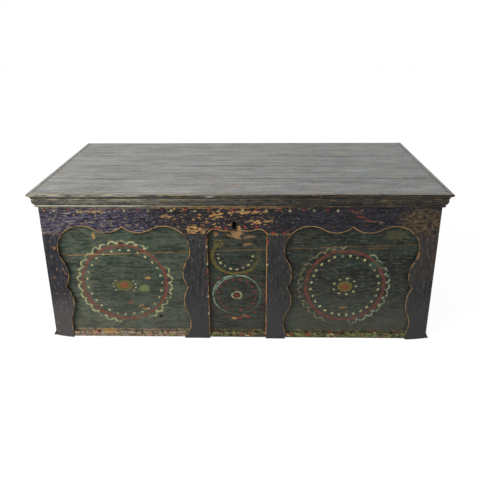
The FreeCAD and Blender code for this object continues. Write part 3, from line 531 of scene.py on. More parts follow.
def rail_wear(shade, to_left):
    """Chalky flecks along the rail and bare wood, thick in its scrapes; gives where the wood is bare."""
    x, z = shade.x, shade.z
    chalk = shade.flecks(x, z, (13, 5), 31, 0.57)
    shade.lay(seen(122, 114, 116), chalk * (to_left * 0.55 + 0.2))
    streaks = shade.flecks(x, z, (34, 4), 35, 0.6) * to_left
    shade.lay(seen(166, 156, 140), streaks * 0.75)
    scraped = shade.step(x, -250, -140) * shade.step(x, 120, 20) * 0.25
    for place, radii in RAIL_SCRAPES:
        scraped = shade.most(scraped, spot(shade, x, z, place, radii, edge=(1.5, 0.4)))
    field = shade.noise(x / 15, z / 6, 43, detail=5, rough=0.68)
    calm = shade.step(x, 110, 190)
    ochre = shade.step(field + scraped * 0.14 + to_left * 0.025 - calm * 0.03, 0.605, 0.645)
    kept = shade.worn(61, 0.42)
    ochre = shade.most(ochre, rail_lines(shade) * kept * 0.85)
    rag = shade.noise(x / 9, z / 5, 53, rough=0.66)
    middle = shade.step(x, -270, -150) * shade.step(x, 150, 50)
    bare_wood = shade.mix(seen(80, 60, 40), shade.mix(TAN, GOLD, middle), shade.step(rag, 0.36, 0.56))
    shade.lay(bare_wood, ochre * 0.9)
    rail_end(shade, field, rag)
    rim = Oval(shade, x, z, KEYHOLE_MIDDLE, KEYHOLE_RADII)
    shade.lay(OCHRE, rim.stroke(1.2) * kept * 0.7)
    return ochre


def stile_wear(shade, to_left, lot):
    """Flecks of the stiles, their dusty feet, lighter at the left partly as painted light, and the right
    one's brown head; gives where the wood is bare.
    """
    x, z = shade.x, shade.z
    chalk = shade.flecks(z, x, (20, 4.5), 31 + lot, 0.59)
    shade.lay(seen(92, 88, 84), chalk * 0.55)
    ochre = shade.flecks(x, z, (10, 14), 43, 0.605) * (to_left * 0.85 + 0.08)
    shade.lay(seen(140, 104, 68), ochre)
    head = shade.step(x, 470, 530) * shade.step(z, 170, 290)
    shade.lay(seen(50, 45, 41), head * 0.25)
    streak = shade.flecks(z, x, (24, 5), 83, 0.54)
    shade.lay(seen(104, 76, 52), streak * head * 0.45)
    # Dust at the feet, lighter at the left partly as painted light
    dust = shade.mix(seen(52, 53, 53), seen(78, 76, 74), to_left)
    shade.lay(dust, shade.step(z, 190, 60) * 0.7)
    return ochre


# The rail's rows of dots: tint, height, spacing and phase
DOT_ROWS = ((DOT_RED, 420.5, 67.7, 0.738), (CREAM, 418.5, 68.1, 0.324))
# Single dots over the middle bay and at its edges
HEAD_DOTS = (
    (-94, 339), (-75, 361), (-59, 364), (-36, 363), (19, 369),
    (53, 369), (76, 354), (84, 338), (101, 351), (134, 351),
)
EDGE_DOTS = ((-93, 306), (-93, 251), (-93, 142), (-93, 83), (84, 249))
# The middle of that bay, and how far from it its dotted edges are
BAY_MIDDLE = -4.5
BAY_EDGE = 89


def rail_dots(shade):
    """The rail's row of red and cream dots and the red dots over the middle bay."""
    x, z = shade.x, shade.z
    kept = shade.worn(67, 0.4)
    faded = shade.step(x, 480, 220) * (shade.step(x, -420, -150) * 0.45 + 0.55)
    for tint, height, pitch, phase in DOT_ROWS:
        cell = (shade.math("FRACT", x / pitch + phase) - 0.5) * pitch
        dots = spot(shade, cell, z, (0, height), (4.2, 3.9))
        shade.lay(tint, dots * (kept * 0.65 + 0.1) * faded)
    for place in HEAD_DOTS:
        shade.lay(DOT_RED, spot(shade, x, z, place, (4.8, 4.4)) * (kept * 0.4 + 0.4))


def edge_dots(shade):
    """Red and cream dots on the edges of the middle bay."""
    x, z = shade.x, shade.z
    beside = shade.step(abs(abs(x - BAY_MIDDLE) - BAY_EDGE), 4, 2.5)
    red = shade.flecks(z, x, (22, 30), 91, 0.54)
    shade.lay(DOT_RED, beside * red * 0.6)
    for place in EDGE_DOTS:
        shade.lay(CREAM, spot(shade, x, z, place, (3.4, 4)) * 0.65)


# Each panel's paint: dark, light and dusty, then its share of green; the left panel is lighter and the right
# one darker, partly as painted light falling off towards the right
PANEL_TONES = {
    "left": (seen(28, 37, 30), seen(82, 87, 72), seen(92, 94, 82), 0.4),
    "centre": (seen(15, 17, 14), seen(53, 55, 47), seen(62, 63, 60), 0.2),
    "right": (seen(10, 13, 10), seen(47, 49, 42), seen(92, 94, 84), 0.15),
}
# The ornament's ovals and some larger patches: middle, then half width and half height
LEFT_RING = (-348, 181), (128, 123)
LEFT_FLOWER = (-349.5, 172), (18, 13)
GREEN_PATCH = (-291, 163), (15, 14)
KNOT_HOLE = (-244, 68), (7, 4.5)
UPPER_RING = (-10, 271), (70, 56)
SCROLL = (-60, 312), (12, 10.5)
LOWER_RING = (-7, 141.5), (73, 66)
LOWER_EYE = (-7, 141), (15, 11.5)
BARE_PATCH = (-6, 343), (19, 14)
RIGHT_RING = (319, 174), (117, 114.5)
RIGHT_SCALLOPS = (316, 174), (120.5, 115)
RIGHT_FLOWER = (320, 172), (17, 13)
STRIP_PATCH = (-412, STRIP_HEAD + 2), (24, 6)
# Flecks on the panels: tint, middle, then half width and half height
LEFT_FLECKS = (
    (OCHRE, (-278, 198), (11, 4)), (DEEP_OCHRE, (-302, 102), (8, 5)),
    (DEEP_OCHRE, (-291, 92), (9, 5)), (seen(104, 74, 50), (-334, 115), (9, 5)),
    (OCHRE, (-429, 335), (5, 10)),
)
CENTRE_FLECKS = (
    (OCHRE, (-15, 60), (9, 4)), (DOT_RED, (2, 61), (8, 4)),
    (DEEP_OCHRE, (16, 70), (7, 4)), (DOT_RED, (30, 67), (6, 4)),
    (DEEP_OCHRE, (24, 309), (13, 4.5)), (DEEP_OCHRE, (32, 333), (15, 5)),
    (DEEP_OCHRE, (-66, 341), (7, 9)),
)
RIGHT_FLECKS = (
    (OCHRE, (319, 102), (12, 3)), (seen(80, 76, 50), (461, 340), (34, 16)),
    (seen(96, 66, 42), (406, 298), (26, 4)), (seen(56, 84, 70), (412, 246), (20, 12)),
)


def panel_ground(side):
    """Brushed paint of a panel before its ornament; gives the shade and its relief."""
    shade = Shade("panel_paint_" + side)
    deep, light, pale, green = PANEL_TONES[side]
    x, z, lot = shade.x, shade.z, shade.board * 30
    streak = shade.noise(x / 60, z / 7, lot, detail=6, rough=0.68)
    fine = shade.noise(x / 18, z / 7, lot, detail=6, rough=0.72)
    cloud = shade.noise(x / 55, z / 34, 14, rough=0.6)
    tone = shade.step(streak * 0.32 + fine * 0.4 + cloud * 0.28, 0.42, 0.58)
    shade.prime(deep, light, tone)
    greener = shade.step(shade.noise(x / 70, z / 45, 26), 0.46, 0.62)
    shade.lay(seen(46, 72, 57), greener * shade.step(z, 90, 260) * green)
    low = shade.step(z, 210, 20)
    shade.lay(pale, low * 0.35)
    for tint, size, seed, share in (
            (pale, (20, 6), 41, 0.65), (seen(84, 68, 46), (20, 7), 47, 0.6),
            (seen(44, 84, 70), (26, 11), 59, 0.38), (seen(12, 14, 11), (18, 6), 63, 0.5)):
        shade.lay(tint, shade.flecks(x, z, size, seed, 0.59) * share)
    return shade, streak * 0.5 + fine * 0.4


def ends_panel(shade, relief, share):
    """The ochre line along the boards' joint, as strong as share, and the last of a panel's material."""
    bare = shade.arris * shade.step(shade.noise(shade.x / 40, shade.z / 12, 8, detail=2), 0.32, 0.5)
    edge = shade.mix(DEEP_OCHRE, OCHRE, shade.step(shade.x, -250, -400))
    shade.lay(edge, bare * share)
    ragged = shade.noise(shade.x / 9, shade.z / 9, 88, detail=3) * 10 - 5
    foot = shade.step(shade.z + ragged, STRIP_HEAD + DAB_REACH + 1, STRIP_HEAD + DAB_REACH - 1)
    shade.lay(dabs(shade), foot * 0.85)
    return shade.finish(0.6, relief - bare * 0.3, 0.4, 0.2)


def hand(shade, reach):
    """Places swayed a little, as a brush held by hand sways."""
    x, z = shade.x, shade.z
    side = shade.noise(x / 30, z / 30, 3, detail=3, rough=0.6) - 0.5
    rise = shade.noise(x / 30, z / 30, 17, detail=3, rough=0.6) - 0.5
    return x + side * reach, z + rise * reach


def strew(shade, x, z, flecks, rag, ragged, share):
    """Lays flecks of paint or of bare wood on a panel."""
    for tint, place, radii in flecks:
        shade.lay(tint, spot(shade, x, z, place, radii, rag, ragged) * share)


def left_panel():
    """The left bay's panel with its rosette."""
    shade, relief = panel_ground("left")
    x, z = hand(shade, 13)
    kept = shade.worn(51, 0.4)
    rag = shade.noise(shade.x / 14, shade.z / 10, 77)
    ring = Oval(shade, x, z, *LEFT_RING)
    shade.lay(seen(30, 37, 31), shade.step(ring.off, -10, -60) * 0.3)
    shade.lay(seen(30, 36, 31), shade.step(shade.x, -300, -215) * 0.22)
    lobes = ring.lobes(30, 4, 12.5, 2.6) * kept * ring.gap(0.61, 0.055) * ring.gap(0.28, 0.07)
    shade.lay(seen(160, 158, 114), lobes * 0.85)
    shade.lay(RED, ring.stroke(4.6) * (kept * 0.65 + 0.2))
    shade.lay(CREAM, ring.dots(27, -14, 4.2, 3.2) * (kept * 0.6 + 0.2))
    flower = Oval(shade, x, z, *LEFT_FLOWER)
    petals = flower.dots(14, 14, 2.4, 3) * shade.step(abs(flower.across), 0.9, 1.5)
    shade.lay(CREAM, petals * 0.6)
    shade.lay(OLIVE, flower.stroke(6) * (kept * 0.3 + 0.5))
    shade.lay(FLOWER_RED, shade.step(flower.off, -4, -7) * (kept * 0.3 + 0.5))
    shade.lay(seen(98, 114, 70), spot(shade, x, z, *GREEN_PATCH, rag, 1.6) * 0.8)
    strew(shade, x, z, LEFT_FLECKS, rag, 1.8, 0.75)
    shade.lay(seen(6, 6, 5), spot(shade, x, z, *KNOT_HOLE, rag, 1))
    return ends_panel(shade, relief, 0.95)


def right_panel():
    """The right bay's panel with its rosette."""
    shade, relief = panel_ground("right")
    x, z = hand(shade, 13)
    kept = shade.worn(87, 0.41)
    rag = shade.noise(shade.x / 14, shade.z / 10, 79)
    ring = Oval(shade, x, z, *RIGHT_RING)
    scallops = Oval(shade, x, z, *RIGHT_SCALLOPS)
    to_right = shade.step(ring.across, -0.6, 0.7)
    lobes = scallops.lobes(29, 4, 12.5, 2.5) * kept * ring.gap(0.23, 0.06) * ring.gap(0.7, 0.05)
    pale = shade.mix(seen(140, 128, 92), seen(136, 142, 112), to_right)
    shade.lay(pale, lobes * (to_right * 0.35 + 0.5))
    shade.lay(RED, ring.stroke(4.4) * (kept * 0.5 + 0.2))
    shade.lay(CREAM, ring.dots(28, -15, 4, 3.8) * (kept * 0.6 + 0.25))
    flower = Oval(shade, x, z, *RIGHT_FLOWER)
    shade.lay(CREAM, flower.dots(9, 15, 3.4, 3.2) * 0.65)
    shade.lay(OLIVE, flower.stroke(4.5) * 0.8)
    shade.lay(FLOWER_RED, shade.step(flower.off, -3, -6) * (kept * 0.3 + 0.4))
    strew(shade, x, z, RIGHT_FLECKS, rag, 3, 0.45)
    return ends_panel(shade, relief, 0.5)


def upper_figure(shade, x, z, kept):
    """The middle bay's upper figure: an open olive ring with a scroll, and cream dots in it."""
    ring = Oval(shade, x, z, *UPPER_RING)
    drawn = shade.step(ring.up - abs(ring.across) * 0.5, 0.55, 0.25)
    drawn = drawn * shade.step(ring.across + ring.up * 0.3, 1.3, 0.2)
    shade.lay(OLIVE, ring.stroke(4.4) * (drawn * 0.7 + 0.1) * (kept * 0.4 + 0.6))
    shade.lay(OLIVE, Oval(shade, x, z, *SCROLL).stroke(2.2) * 0.6)
    dots = ring.dots(17, -16, 4.2, 3.9) * shade.step(ring.up, 0.25, -0.1)
    shade.lay(CREAM, dots * (kept * 0.7 + 0.05))


def lower_figure(shade, x, z, kept):
    """The middle bay's lower figure: a pale green ring between red dots, with an eye in its middle."""
    ring = Oval(shade, x, z, *LOWER_RING)
    bright = shade.step(ring.up - ring.across, -0.9, 1.3)
    dim = shade.step(ring.up, -1, 0.3) * 0.5 + 0.2
    shade.lay(PALE_GREEN, ring.stroke(2.6) * (kept * 0.6 + 0.2) * dim)
    second = ring.stroke(1.4, -6) * shade.step(ring.up - ring.across, 0.9, 1.4)
    gleam = shade.most(ring.stroke(1.6) * bright * kept, second)
    shade.lay(seen(168, 182, 160), gleam * 0.5)
    shade.lay(DOT_RED, ring.dots(16, -14, 3.8, 3.4) * (kept * 0.4 + 0.25))
    shade.lay(DOT_RED, ring.dots(18, 13, 3.6, 3.4) * (kept * 0.55 + 0.1))
    eye = Oval(shade, x, z, *LOWER_EYE)
    shade.lay(seen(20, 17, 15), eye.disc() * 0.9)
    shade.lay(RED, shade.step(eye.off, -4.5, -7) * 0.7)
    shade.lay(seen(150, 148, 112), eye.stroke(2.3) * (kept * 0.5 + 0.35))


def centre_panel():
    """The middle bay's panel with its two figures and the bare patch under the keyhole."""
    shade, relief = panel_ground("centre")
    x, z = hand(shade, 10)
    kept = shade.worn(29, 0.4)
    rag = shade.noise(shade.x / 14, shade.z / 9, 81, detail=5)
    upper_figure(shade, x, z, kept)
    lower_figure(shade, x, z, kept)
    strew(shade, x, z, CENTRE_FLECKS, rag, 1.8, 0.7)
    bare = spot(shade, x, z, *BARE_PATCH, rag, 4.5)
    shade.lay(shade.mix(DEEP_OCHRE, seen(184, 142, 94), rag), bare * 0.75)
    return ends_panel(shade, relief, 0.7)


def dabs(shade):
    """The colour of slanting dabs of red, green, cream and ochre, paler in the left bay."""
    x, z = shade.x, shade.z
    slant = x + z * 0.7
    to_left = shade.step(x, -90, -140)
    fine = shade.noise(slant / 14, z / 7, 4, rough=0.65)
    dark = shade.mix(seen(30, 29, 23), seen(60, 55, 46), to_left)
    light = shade.mix(seen(92, 92, 62), seen(142, 126, 106), to_left)
    colour = shade.mix(dark, light, shade.step(fine, 0.4, 0.6))
    pink = shade.mix(seen(116, 52, 40), seen(156, 104, 88), to_left)
    for tint, seed, low in ((pink, 11, 0.54), (seen(112, 124, 66), 23, 0.56), (CREAM, 37, 0.62),
                            (OCHRE, 57, 0.61), (seen(24, 23, 19), 49, 0.57)):
        colour = shade.mix(colour, tint, shade.flecks(slant, z, (17, 16), seed, low) * 0.8)
    return shade.mix(colour, OCHRE, spot(shade, x, z, *STRIP_PATCH, fine, 2) * 0.8)


def strip_paint():
    """The strips at the foot, covered with dabs."""
    shade = Shade("strip_paint_dabs")
    shade.paint = dabs(shade)
    fibre = shade.noise(shade.x / 33, shade.z / 3, 9, detail=2)
    return shade.finish(0.6, fibre, 0.4, 0.2)


def case_paint(axis, bare_from):
    """Thin dark paint of the ends and the back, worn through to the pine."""
    shade = Shade("case_paint_" + axis)
    along, across = shade.grain(axis)[:2]
    lot = shade.board * 70
    streak = shade.fibres(axis, 120, 9, lot, 6, 0.62)
    fibre = shade.fibres(axis, 30, 3, lot, 4, 0.65)
    cloud = shade.noise(along / 160, across / 90, 2)
    tone = shade.step(streak * 0.5 + fibre * 0.5, 0.38, 0.64)
    shade.prime(seen(24, 24, 25), seen(68, 66, 61), tone)
    worn = shade.step(streak * 0.4 + fibre * 0.3 + cloud * 0.3, bare_from, bare_from + 0.05)
    shade.lay(shade.mix(seen(78, 58, 38), seen(128, 100, 66), fibre), worn * 0.8)
    # Darker towards the bottom
    darker_low = shade.step(shade.z, 60, -6)
    shade.lay(seen(36, 33, 29), darker_low * 0.5)
    edge = shade.arris * shade.step(fibre + cloud * 0.4, 0.56, 0.76)
    shade.lay(DEEP_OCHRE, edge * 0.7)
    return shade.finish(0.6 + fibre * 0.15, streak * 0.5 + fibre * 0.4 - worn * 0.4, 0.5, 0.25)


def bare_pine(axis):
    """Old pine without paint, brown from age, with its growth rings, pores and stains."""
    shade = Shade("bare_pine_" + axis)
    across, through = shade.grain(axis)[1:]
    lot = shade.board * 80
    bend = shade.fibres(axis, 900, 130, lot, 2)
    rings = shade.math("SINE", (across + through * 0.7 + bend * 60) * 0.7)
    late = shade.step(rings, -0.3, 0.95)
    fibre = shade.fibres(axis, 60, 2.2, lot, 4, 0.62)
    stain = shade.fibres(axis, 220, 70, lot, 4, 0.6)
    light = shade.mix(seen(146, 114, 76), seen(162, 126, 84), shade.board)
    shade.prime(light, seen(106, 76, 48), late * 0.45 + fibre * 0.3)
    shade.lay(seen(82, 66, 50), shade.step(stain, 0.48, 0.68) * 0.55)
    shade.lay(seen(52, 38, 26), shade.arris * 0.65)
    return shade.finish(0.68 + fibre * 0.15, fibre * 0.5 + late * 0.3, 0.35, 0.3)


def forged_iron():
    """Hammered iron, dark from the fire, with rust in the hollows."""
    shade = Shade("forged_iron_old")
    x, y, z = shade.x, shade.y, shade.z
    dent = shade.noise(x * 0.09, y * 0.09, z * 0.09, detail=3)
    grit = shade.noise(x * 0.7, y * 0.7, z * 0.7, detail=2)
    rust = shade.step(dent * 0.6 + grit * 0.4, 0.5, 0.62)
    shade.prime(seen(58, 54, 50), seen(98, 60, 38), rust * 0.75)
    shade.lay(seen(120, 114, 106), shade.arris * shade.step(grit, 0.4, 0.6) * 0.6)
    rough = shade.math("MULTIPLY_ADD", rust, 0.25, 0.5)
    return shade.finish(rough, dent + grit * 0.25, 0.5, 0.5, 0.75 - rust * 0.6)


# Meshes: aged copies of the nodes


def welded(node):
    """A copy of a node's mesh with its seams closed."""
    mesh = bmesh.new()
    mesh.from_mesh(frame["nodes"][node].data)
    bmesh.ops.remove_doubles(mesh, verts=mesh.verts, dist=WELD)
    return mesh


def islands(mesh):
    """The points of each separate solid of a mesh."""
    left = set(mesh.verts)
    while left:
        start = left.pop()
        group = {start}
        edge_of_group = [start]
        while edge_of_group:
            here = edge_of_group.pop()
            near = {edge.other_vert(here) for edge in here.link_edges} - group
            group |= near
            edge_of_group.extend(near)
        left -= group
        yield group


def box_of(verts):
    """The least and the greatest corner of the box round some points."""
    return [Vector([end(vert.co[axis] for vert in verts) for axis in range(3)]) for end in (min, max)]


def nail_boxes():
    """The room that each nail takes, a little longer than the nail."""
    boxes = []
    for name in sorted(frame["nodes"]):
        if not name.endswith(("_nails", "_sprigs")):
            continue
        mesh = welded(name)
        for group in islands(mesh):
            low, high = box_of(group)
            length = high - low
            longest = max(range(3), key=lambda axis: length[axis])
            for axis in range(3):
                room = NAIL_SINK if axis == longest else NAIL_ROOM
                low[axis] -= room
                high[axis] += room
            boxes.append((low, high))
        mesh.free()
    return boxes


def within(place, box):
    """Whether a place is in a box."""
    return all(box[0][axis] <= place[axis] <= box[1][axis] for axis in range(3))


# The room about the keyhole through the rail and the front
KEYHOLE_ROOM = (Vector((-30, -330, 352)) * MM, Vector((6, -240, 394)) * MM)
# The chest's lower corners are worn away: how far up, how far along, how far it fades above, and how hollow
CORNER_RISE = {"left": 8.5 * MM, "right": 6 * MM}
CORNER_REACH = 55 * MM
CORNER_FADE = 30 * MM
CORNER_CURVE = 1.5


def wear_corner(mesh, rise):
    """Lifts the foot of a corner piece towards the chest's outer corner."""
    for vert in mesh.verts:
        near = 1 - (BODY_SIDE * MM - abs(vert.co.x)) / CORNER_REACH
        low = 1 - vert.co.z / CORNER_FADE
        if near > 0 and low > 0:
            vert.co.z += rise * min(near, 1) ** CORNER_CURVE * low


def fill_nail_holes(mesh, nails):
    """Closes the holes that the nails take, so that a nail is simply sunk into the wood."""
    low, high = box_of(mesh.verts)
    near = [box for box in nails if all(
        box[0][axis] <= high[axis] and box[1][axis] >= low[axis] for axis in range(3))]
    walls = [face for face in mesh.faces
             if any(all(within(vert.co, box) for vert in face.verts) for box in near)]
    bmesh.ops.delete(mesh, geom=walls, context="FACES")
    rims = [edge for edge in mesh.edges if edge.is_boundary]
    bmesh.ops.holes_fill(mesh, edges=rims, sides=0)
    bmesh.ops.recalc_face_normals(mesh, faces=mesh.faces)


def round_arrises(mesh, width):
    """Rounds the outward edges, but not the keyhole's, and marks the new faces."""
    bmesh.ops.dissolve_limit(mesh, angle_limit=FLAT, verts=mesh.verts, edges=mesh.edges)
    mesh.normal_update()
    mark = mesh.faces.layers.float.new("arris")
    edges = [edge for edge in mesh.edges
             if edge.is_manifold and edge.is_convex and edge.calc_face_angle(0) > SHARP
             and not all(within(vert.co, KEYHOLE_ROOM) for vert in edge.verts)]
    made = bmesh.ops.bevel(
        mesh, geom=edges, offset=width, offset_type="OFFSET", segments=ARRIS_ROUNDS, profile=0.5,
        affect="EDGES", clamp_overlap=False)
    for face in made["faces"]:
        face[mark] = 1


def cut_cells(mesh, pitch):
    """Cuts the faces into cells that the weather can move."""
    for axis in range(3):
        low, high = (corner[axis] for corner in box_of(mesh.verts))
        count = int((high - low) / pitch)
        across = Vector([float(axis == other) for other in range(3)])
        for number in range(1, count + 1):
            place = across * (low + (high - low) * number / (count + 1))
            parts = list(mesh.verts) + list(mesh.edges) + list(mesh.faces)
            bmesh.ops.bisect_plane(mesh, geom=parts, dist=WELD, plane_co=place, plane_no=across)


def weather(mesh, depth, stretch, lot):
    """Sinks the surface a little here and there, never past the node's own face."""
    mesh.normal_update()
    moves = []
    for vert in mesh.verts:
        place = Vector([vert.co[axis] / stretch[axis] for axis in range(3)]) + lot
        share = 0.5 + 0.5 * noise.noise(place)
        moves.append((vert, vert.normal * (-depth * min(max(share, 0), 1))))
    for vert, move in moves:
        vert.co += move


def dress(node, look, coats, choose=None):
    """Stands an aged copy of a node in its place, each face with the coat that choose gives it."""
    draw = random.Random(node)
    lot = Vector([draw.uniform(0, 50) for axis in range(3)])
    mesh = welded(node)
    fill_nail_holes(mesh, NAILS)
    round_arrises(mesh, look["arris"])
    cut_cells(mesh, look["cell"])
    side = node.split("_")[0]
    if node in (side + "_stile", side + "_base_strip") and side in CORNER_RISE:
        wear_corner(mesh, CORNER_RISE[side])
    weather(mesh, look["sink"], look["stretch"], lot)
    mesh.normal_update()
    for face in mesh.faces:
        face.smooth = True
        face.material_index = choose(face.calc_center_median() / MM, face.normal) if choose else 0
    name = node + look["ending"]
    data = bpy.data.meshes.new(name)
    mesh.to_mesh(data)
    mesh.free()
    data.set_sharp_from_angle(angle=SMOOTH)
    share = data.attributes.new("board", "FLOAT", "POINT")
    share.data.foreach_set("value", [draw.random()] * len(data.vertices))
    for coat in coats:
        data.materials.append(coat)
    piece = bpy.data.objects.new(name, data)
    bpy.context.scene.collection.objects.link(piece)
    piece.modifiers.new("even_normals", "WEIGHTED_NORMAL").keep_sharp = True
    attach(piece, frame["nodes"][node]["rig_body"])
    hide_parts(node)


NAILS = nail_boxes()
# How far a hollow of the worn wood runs along the grain and across it, in metres
LONG = 0.25
SHORT = 0.035
GRAIN = {"x": (LONG, SHORT, SHORT), "y": (SHORT, LONG, SHORT), "z": (SHORT, SHORT, LONG)}
HAMMERED = (0.015, 0.015, 0.015)
WOOD_CELL = 20


def aged(ending, arris, cell, sink, stretch):
    """How a piece is aged, from sizes in millimetres, and the ending of its name."""
    return {"ending": ending, "arris": arris * MM, "cell": cell * MM, "sink": sink * MM, "stretch": stretch}


def wood(arris, axis, sink=0.5):
    """How a piece whose grain runs along an axis is aged."""
    return aged("_wood", arris, WOOD_CELL, sink, GRAIN[axis])


IRON = aged("_iron", 0.5, 9, 0.25, HAMMERED)

# How far a face's normal has to lean to count as facing a way
FRONTWARD = -0.3
BACKWARD = 0.7
DOWNWARD = -0.3
UPWARD = 0.9
# How far under the body's outer faces a face still counts as outside, in millimetres
SKIN = 3
FRONT_END_SKIN = 2


def build_fretwork():
    """The pierced frame on the front: rail, stiles and foot strips."""
    rail_coat = frame_paint("x")
    stile_coat = frame_paint("z")
    dress("top_rail", wood(3, "x"), [rail_coat])
    for node in ("left_stile", "middle_left_stile", "middle_right_stile", "right_stile"):
        dress(node, wood(2.3, "z"), [stile_coat])
    strip_coat = strip_paint()
    for node in ("left_foot_strip", "centre_foot_strip", "right_foot_strip"):
        dress(node, wood(1.8, "x"), [strip_coat])


def build_front():
    """The front boards: painted in each bay, bare inside, dark at the dovetails' ends."""
    coats = [left_panel(), centre_panel(), right_panel(), PINE["x"], CASE["y"]]

    def choose(place, normal):
        """Which of the coats a face has."""
        if normal.y < FRONTWARD:
            return (place.x > LEFT_BAY_END) + (place.x > CENTRE_BAY_END)
        return 4 if abs(place.x) > BODY_SIDE - FRONT_END_SKIN else 3

    for node in ("front_board_lower", "front_board_upper"):
        dress(node, wood(1.4, "x"), coats, choose)


def outside(place):
    """Whether a place is on the outer face of the chest's ends or back."""
    return abs(place.x) > BODY_SIDE - SKIN or place.y > BODY_BACK - SKIN


def inner(place, normal):
    """1 on the faces of the case's boards that aren't outside."""
    return int(not outside(place))


def behind(place, normal):
    """1 on the faces at the chest's back."""
    return int(normal.y > BACKWARD and outside(place))


def build_case():
    """The ends, the back and the bottom: dark paint outside, bare pine inside."""
    for side in ("left", "right"):
        for tier in ("lower", "upper"):
            dress(side + "_end_board_" + tier, wood(1.5, "y"), [CASE["y"], PINE["y"]], inner)
        dress(side + "_base_strip", wood(1.5, "y"), [CASE["y"]])
    for tier in ("lower", "upper"):
        dress("back_board_" + tier, wood(1.5, "x"), [CASE["x"], PINE["x"]], inner)
    for part in ("front", "middle", "back"):
        dress("bottom_board_" + part, wood(1.5, "x"), [PINE["x"], CASE["x"]], behind)


def build_lid():
    """The lid: worn grey on top, bare pine below, dark at its back edge, with painted mouldings."""
    top_coat = lid_paint()
    coats = [top_coat, PINE["x"], CASE["x"]]

    def choose(place, normal):
        """Which of the coats a face has."""
        return 2 if behind(place, normal) else int(normal.z < DOWNWARD)

    for part in ("front", "second", "third", "back"):
        dress("lid_board_" + part, wood(1.3, "x", sink=0.7), coats, choose)

    def top_or_side(place, normal):
        """0 on a moulding's top, 1 on its other faces."""
        return int(normal.z < UPWARD)

    front_coat, side_coat = moulding_paint("x"), moulding_paint("y")
    dress("lid_moulding_front", wood(1.2, "x", 0.35), [top_coat, front_coat], top_or_side)
    for side in ("left", "right"):
        dress("lid_moulding_" + side, wood(1.2, "y", 0.35), [top_coat, side_coat], top_or_side)
        dress("lid_batten_" + side, wood(2, "y"), [PINE["y"]])


def build_iron():
    """The hinges and the lock; nails, pins and the lock's small pieces show as the nodes themselves."""
    coat = forged_iron()
    shaped = [side + part for side in ("left", "right") for part in ("_hinge_strap", "_hinge_leaf")]
    shaped += ["lock_plate", "lock_case", "lock_bolt", "lock_staple"]
    for node in shaped:
        dress(node, IRON, [coat])
    for thing in frame["nodes"].values():
        if not thing.hide_render:
            thing.data.materials.clear()
            thing.data.materials.append(coat)


# Stage, light and camera: places and sizes in metres

FLOOR_REACH = 9
FLOOR_BOUNCE = 0.8
FLOOR_SHADOW = 0.12
FLOOR_GLOW = 0.94
WORLD_LIGHT = 0.45
WORLD_SEEN = 1
LAMP_PLACE = Vector((-2.1, -2.1, 2.2))
LAMP_AIM = Vector((-0.2, 0, 0.25))
LAMP_SIZE = 2
LAMP_POWER = 110
# The photograph's view: where it was taken from, its yaw, pitch and roll in degrees, and how wide it sees
CAMERA_PLACE = Vector((0.053, -1.848, 0.966))
CAMERA_TURNS = (1.8, 22.3, -0.52)
FOCAL_PIXELS = 571
PHOTO_PIXELS = 480
SENSOR_WIDTH = 36


def grey(value):
    """A grey with the fourth number that Blender asks for."""
    return (value, value, value, 1)


def seen_rays(tree):
    """1 for what the camera sees by itself or in a reflection, 0 for what only lights the object."""
    path = tree.nodes.new("ShaderNodeLightPath")
    seen_so_far = path.outputs["Is Camera Ray"]
    for ray in ("Is Glossy Ray", "Is Transmission Ray"):
        either = tree.nodes.new("ShaderNodeMath")
        either.operation = "MAXIMUM"
        tree.links.new(seen_so_far, either.inputs[0])
        tree.links.new(path.outputs[ray], either.inputs[1])
        seen_so_far = either.outputs[0]
    return seen_so_far


def show(tree, output, lighting, shown):
    """Ends a tree: lighting is what lights the object, shown is what the camera sees."""
    choose = tree.nodes.new("ShaderNodeMixShader")
    tree.links.new(seen_rays(tree), choose.inputs[0])
    tree.links.new(lighting.outputs[0], choose.inputs[1])
    tree.links.new(shown.outputs[0], choose.inputs[2])
    tree.links.new(choose.outputs[0], tree.nodes[output].inputs["Surface"])


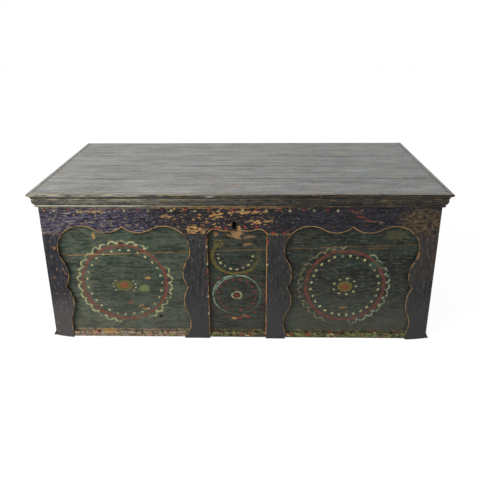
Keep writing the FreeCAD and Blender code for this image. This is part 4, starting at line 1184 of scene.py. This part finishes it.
def make_floor():
    """A white floor with a faint shadow, which lights the object as a pale grey one would."""
    data = bpy.data.meshes.new("floor")
    turns = ((-1, -1), (1, -1), (1, 1), (-1, 1))
    corners = [(side * FLOOR_REACH, back * FLOOR_REACH, 0) for side, back in turns]
    data.from_pydata(corners, [], [(0, 1, 2, 3)])
    floor = bpy.data.objects.new("floor", data)
    bpy.context.scene.collection.objects.link(floor)
    material = bpy.data.materials.new("pale_floor")
    material.use_nodes = True
    tree = material.node_tree
    tree.nodes.remove(tree.nodes["Principled BSDF"])
    pale = tree.nodes.new("ShaderNodeBsdfDiffuse")
    pale.inputs["Color"].default_value = grey(FLOOR_BOUNCE)
    shadow = tree.nodes.new("ShaderNodeBsdfDiffuse")
    shadow.inputs["Color"].default_value = grey(FLOOR_SHADOW)
    white = tree.nodes.new("ShaderNodeEmission")
    white.inputs["Strength"].default_value = FLOOR_GLOW
    lit = tree.nodes.new("ShaderNodeAddShader")
    tree.links.new(shadow.outputs[0], lit.inputs[0])
    tree.links.new(white.outputs[0], lit.inputs[1])
    show(tree, "Material Output", pale, lit)
    data.materials.append(material)


def make_world():
    """A white room that is seen brighter than it lights."""
    world = bpy.data.worlds.new("studio")
    bpy.context.scene.world = world
    world.use_nodes = True
    tree = world.node_tree
    lights = tree.nodes["Background"]
    white = tree.nodes.new("ShaderNodeBackground")
    for node, strength in ((lights, WORLD_LIGHT), (white, WORLD_SEEN)):
        node.inputs["Color"].default_value = grey(1)
        node.inputs["Strength"].default_value = strength
    show(tree, "World Output", lights, white)


def make_lamp():
    """One large soft lamp at the front left."""
    data = bpy.data.lights.new("key", "AREA")
    data.size = LAMP_SIZE
    data.energy = LAMP_POWER
    lamp = bpy.data.objects.new("key", data)
    lamp.location = LAMP_PLACE
    lamp.rotation_euler = (LAMP_AIM - LAMP_PLACE).to_track_quat("-Z", "Y").to_euler()
    bpy.context.scene.collection.objects.link(lamp)


def make_camera():
    """The camera that sees what the photograph shows."""
    yaw, pitch, roll = (math.radians(angle) for angle in CAMERA_TURNS)
    ahead = Vector((-math.sin(yaw) * math.cos(pitch), math.cos(yaw) * math.cos(pitch), -math.sin(pitch)))
    aside = Vector((math.cos(yaw), math.sin(yaw), 0))
    above = aside.cross(ahead)
    right = aside * math.cos(roll) + above * math.sin(roll)
    up = above * math.cos(roll) - aside * math.sin(roll)
    data = bpy.data.cameras.new("photo_camera")
    data.sensor_width = SENSOR_WIDTH
    data.lens = SENSOR_WIDTH * FOCAL_PIXELS / PHOTO_PIXELS
    camera = bpy.data.objects.new("photo_camera", data)
    camera.matrix_world = Matrix.Translation(CAMERA_PLACE) @ Matrix((right, up, -ahead)).transposed().to_4x4()
    bpy.context.scene.collection.objects.link(camera)
    bpy.context.scene.camera = camera


# Materials that several groups of pieces share, by the way of their grain
PINE = {axis: bare_pine(axis) for axis in ("x", "y")}
CASE = {"x": case_paint("x", 0.53), "y": case_paint("y", 0.575)}

build_fretwork()
build_front()
build_case()
build_lid()
build_iron()
make_floor()
make_world()
make_lamp()
make_camera()
bpy.context.scene.view_settings.view_transform = "Standard"
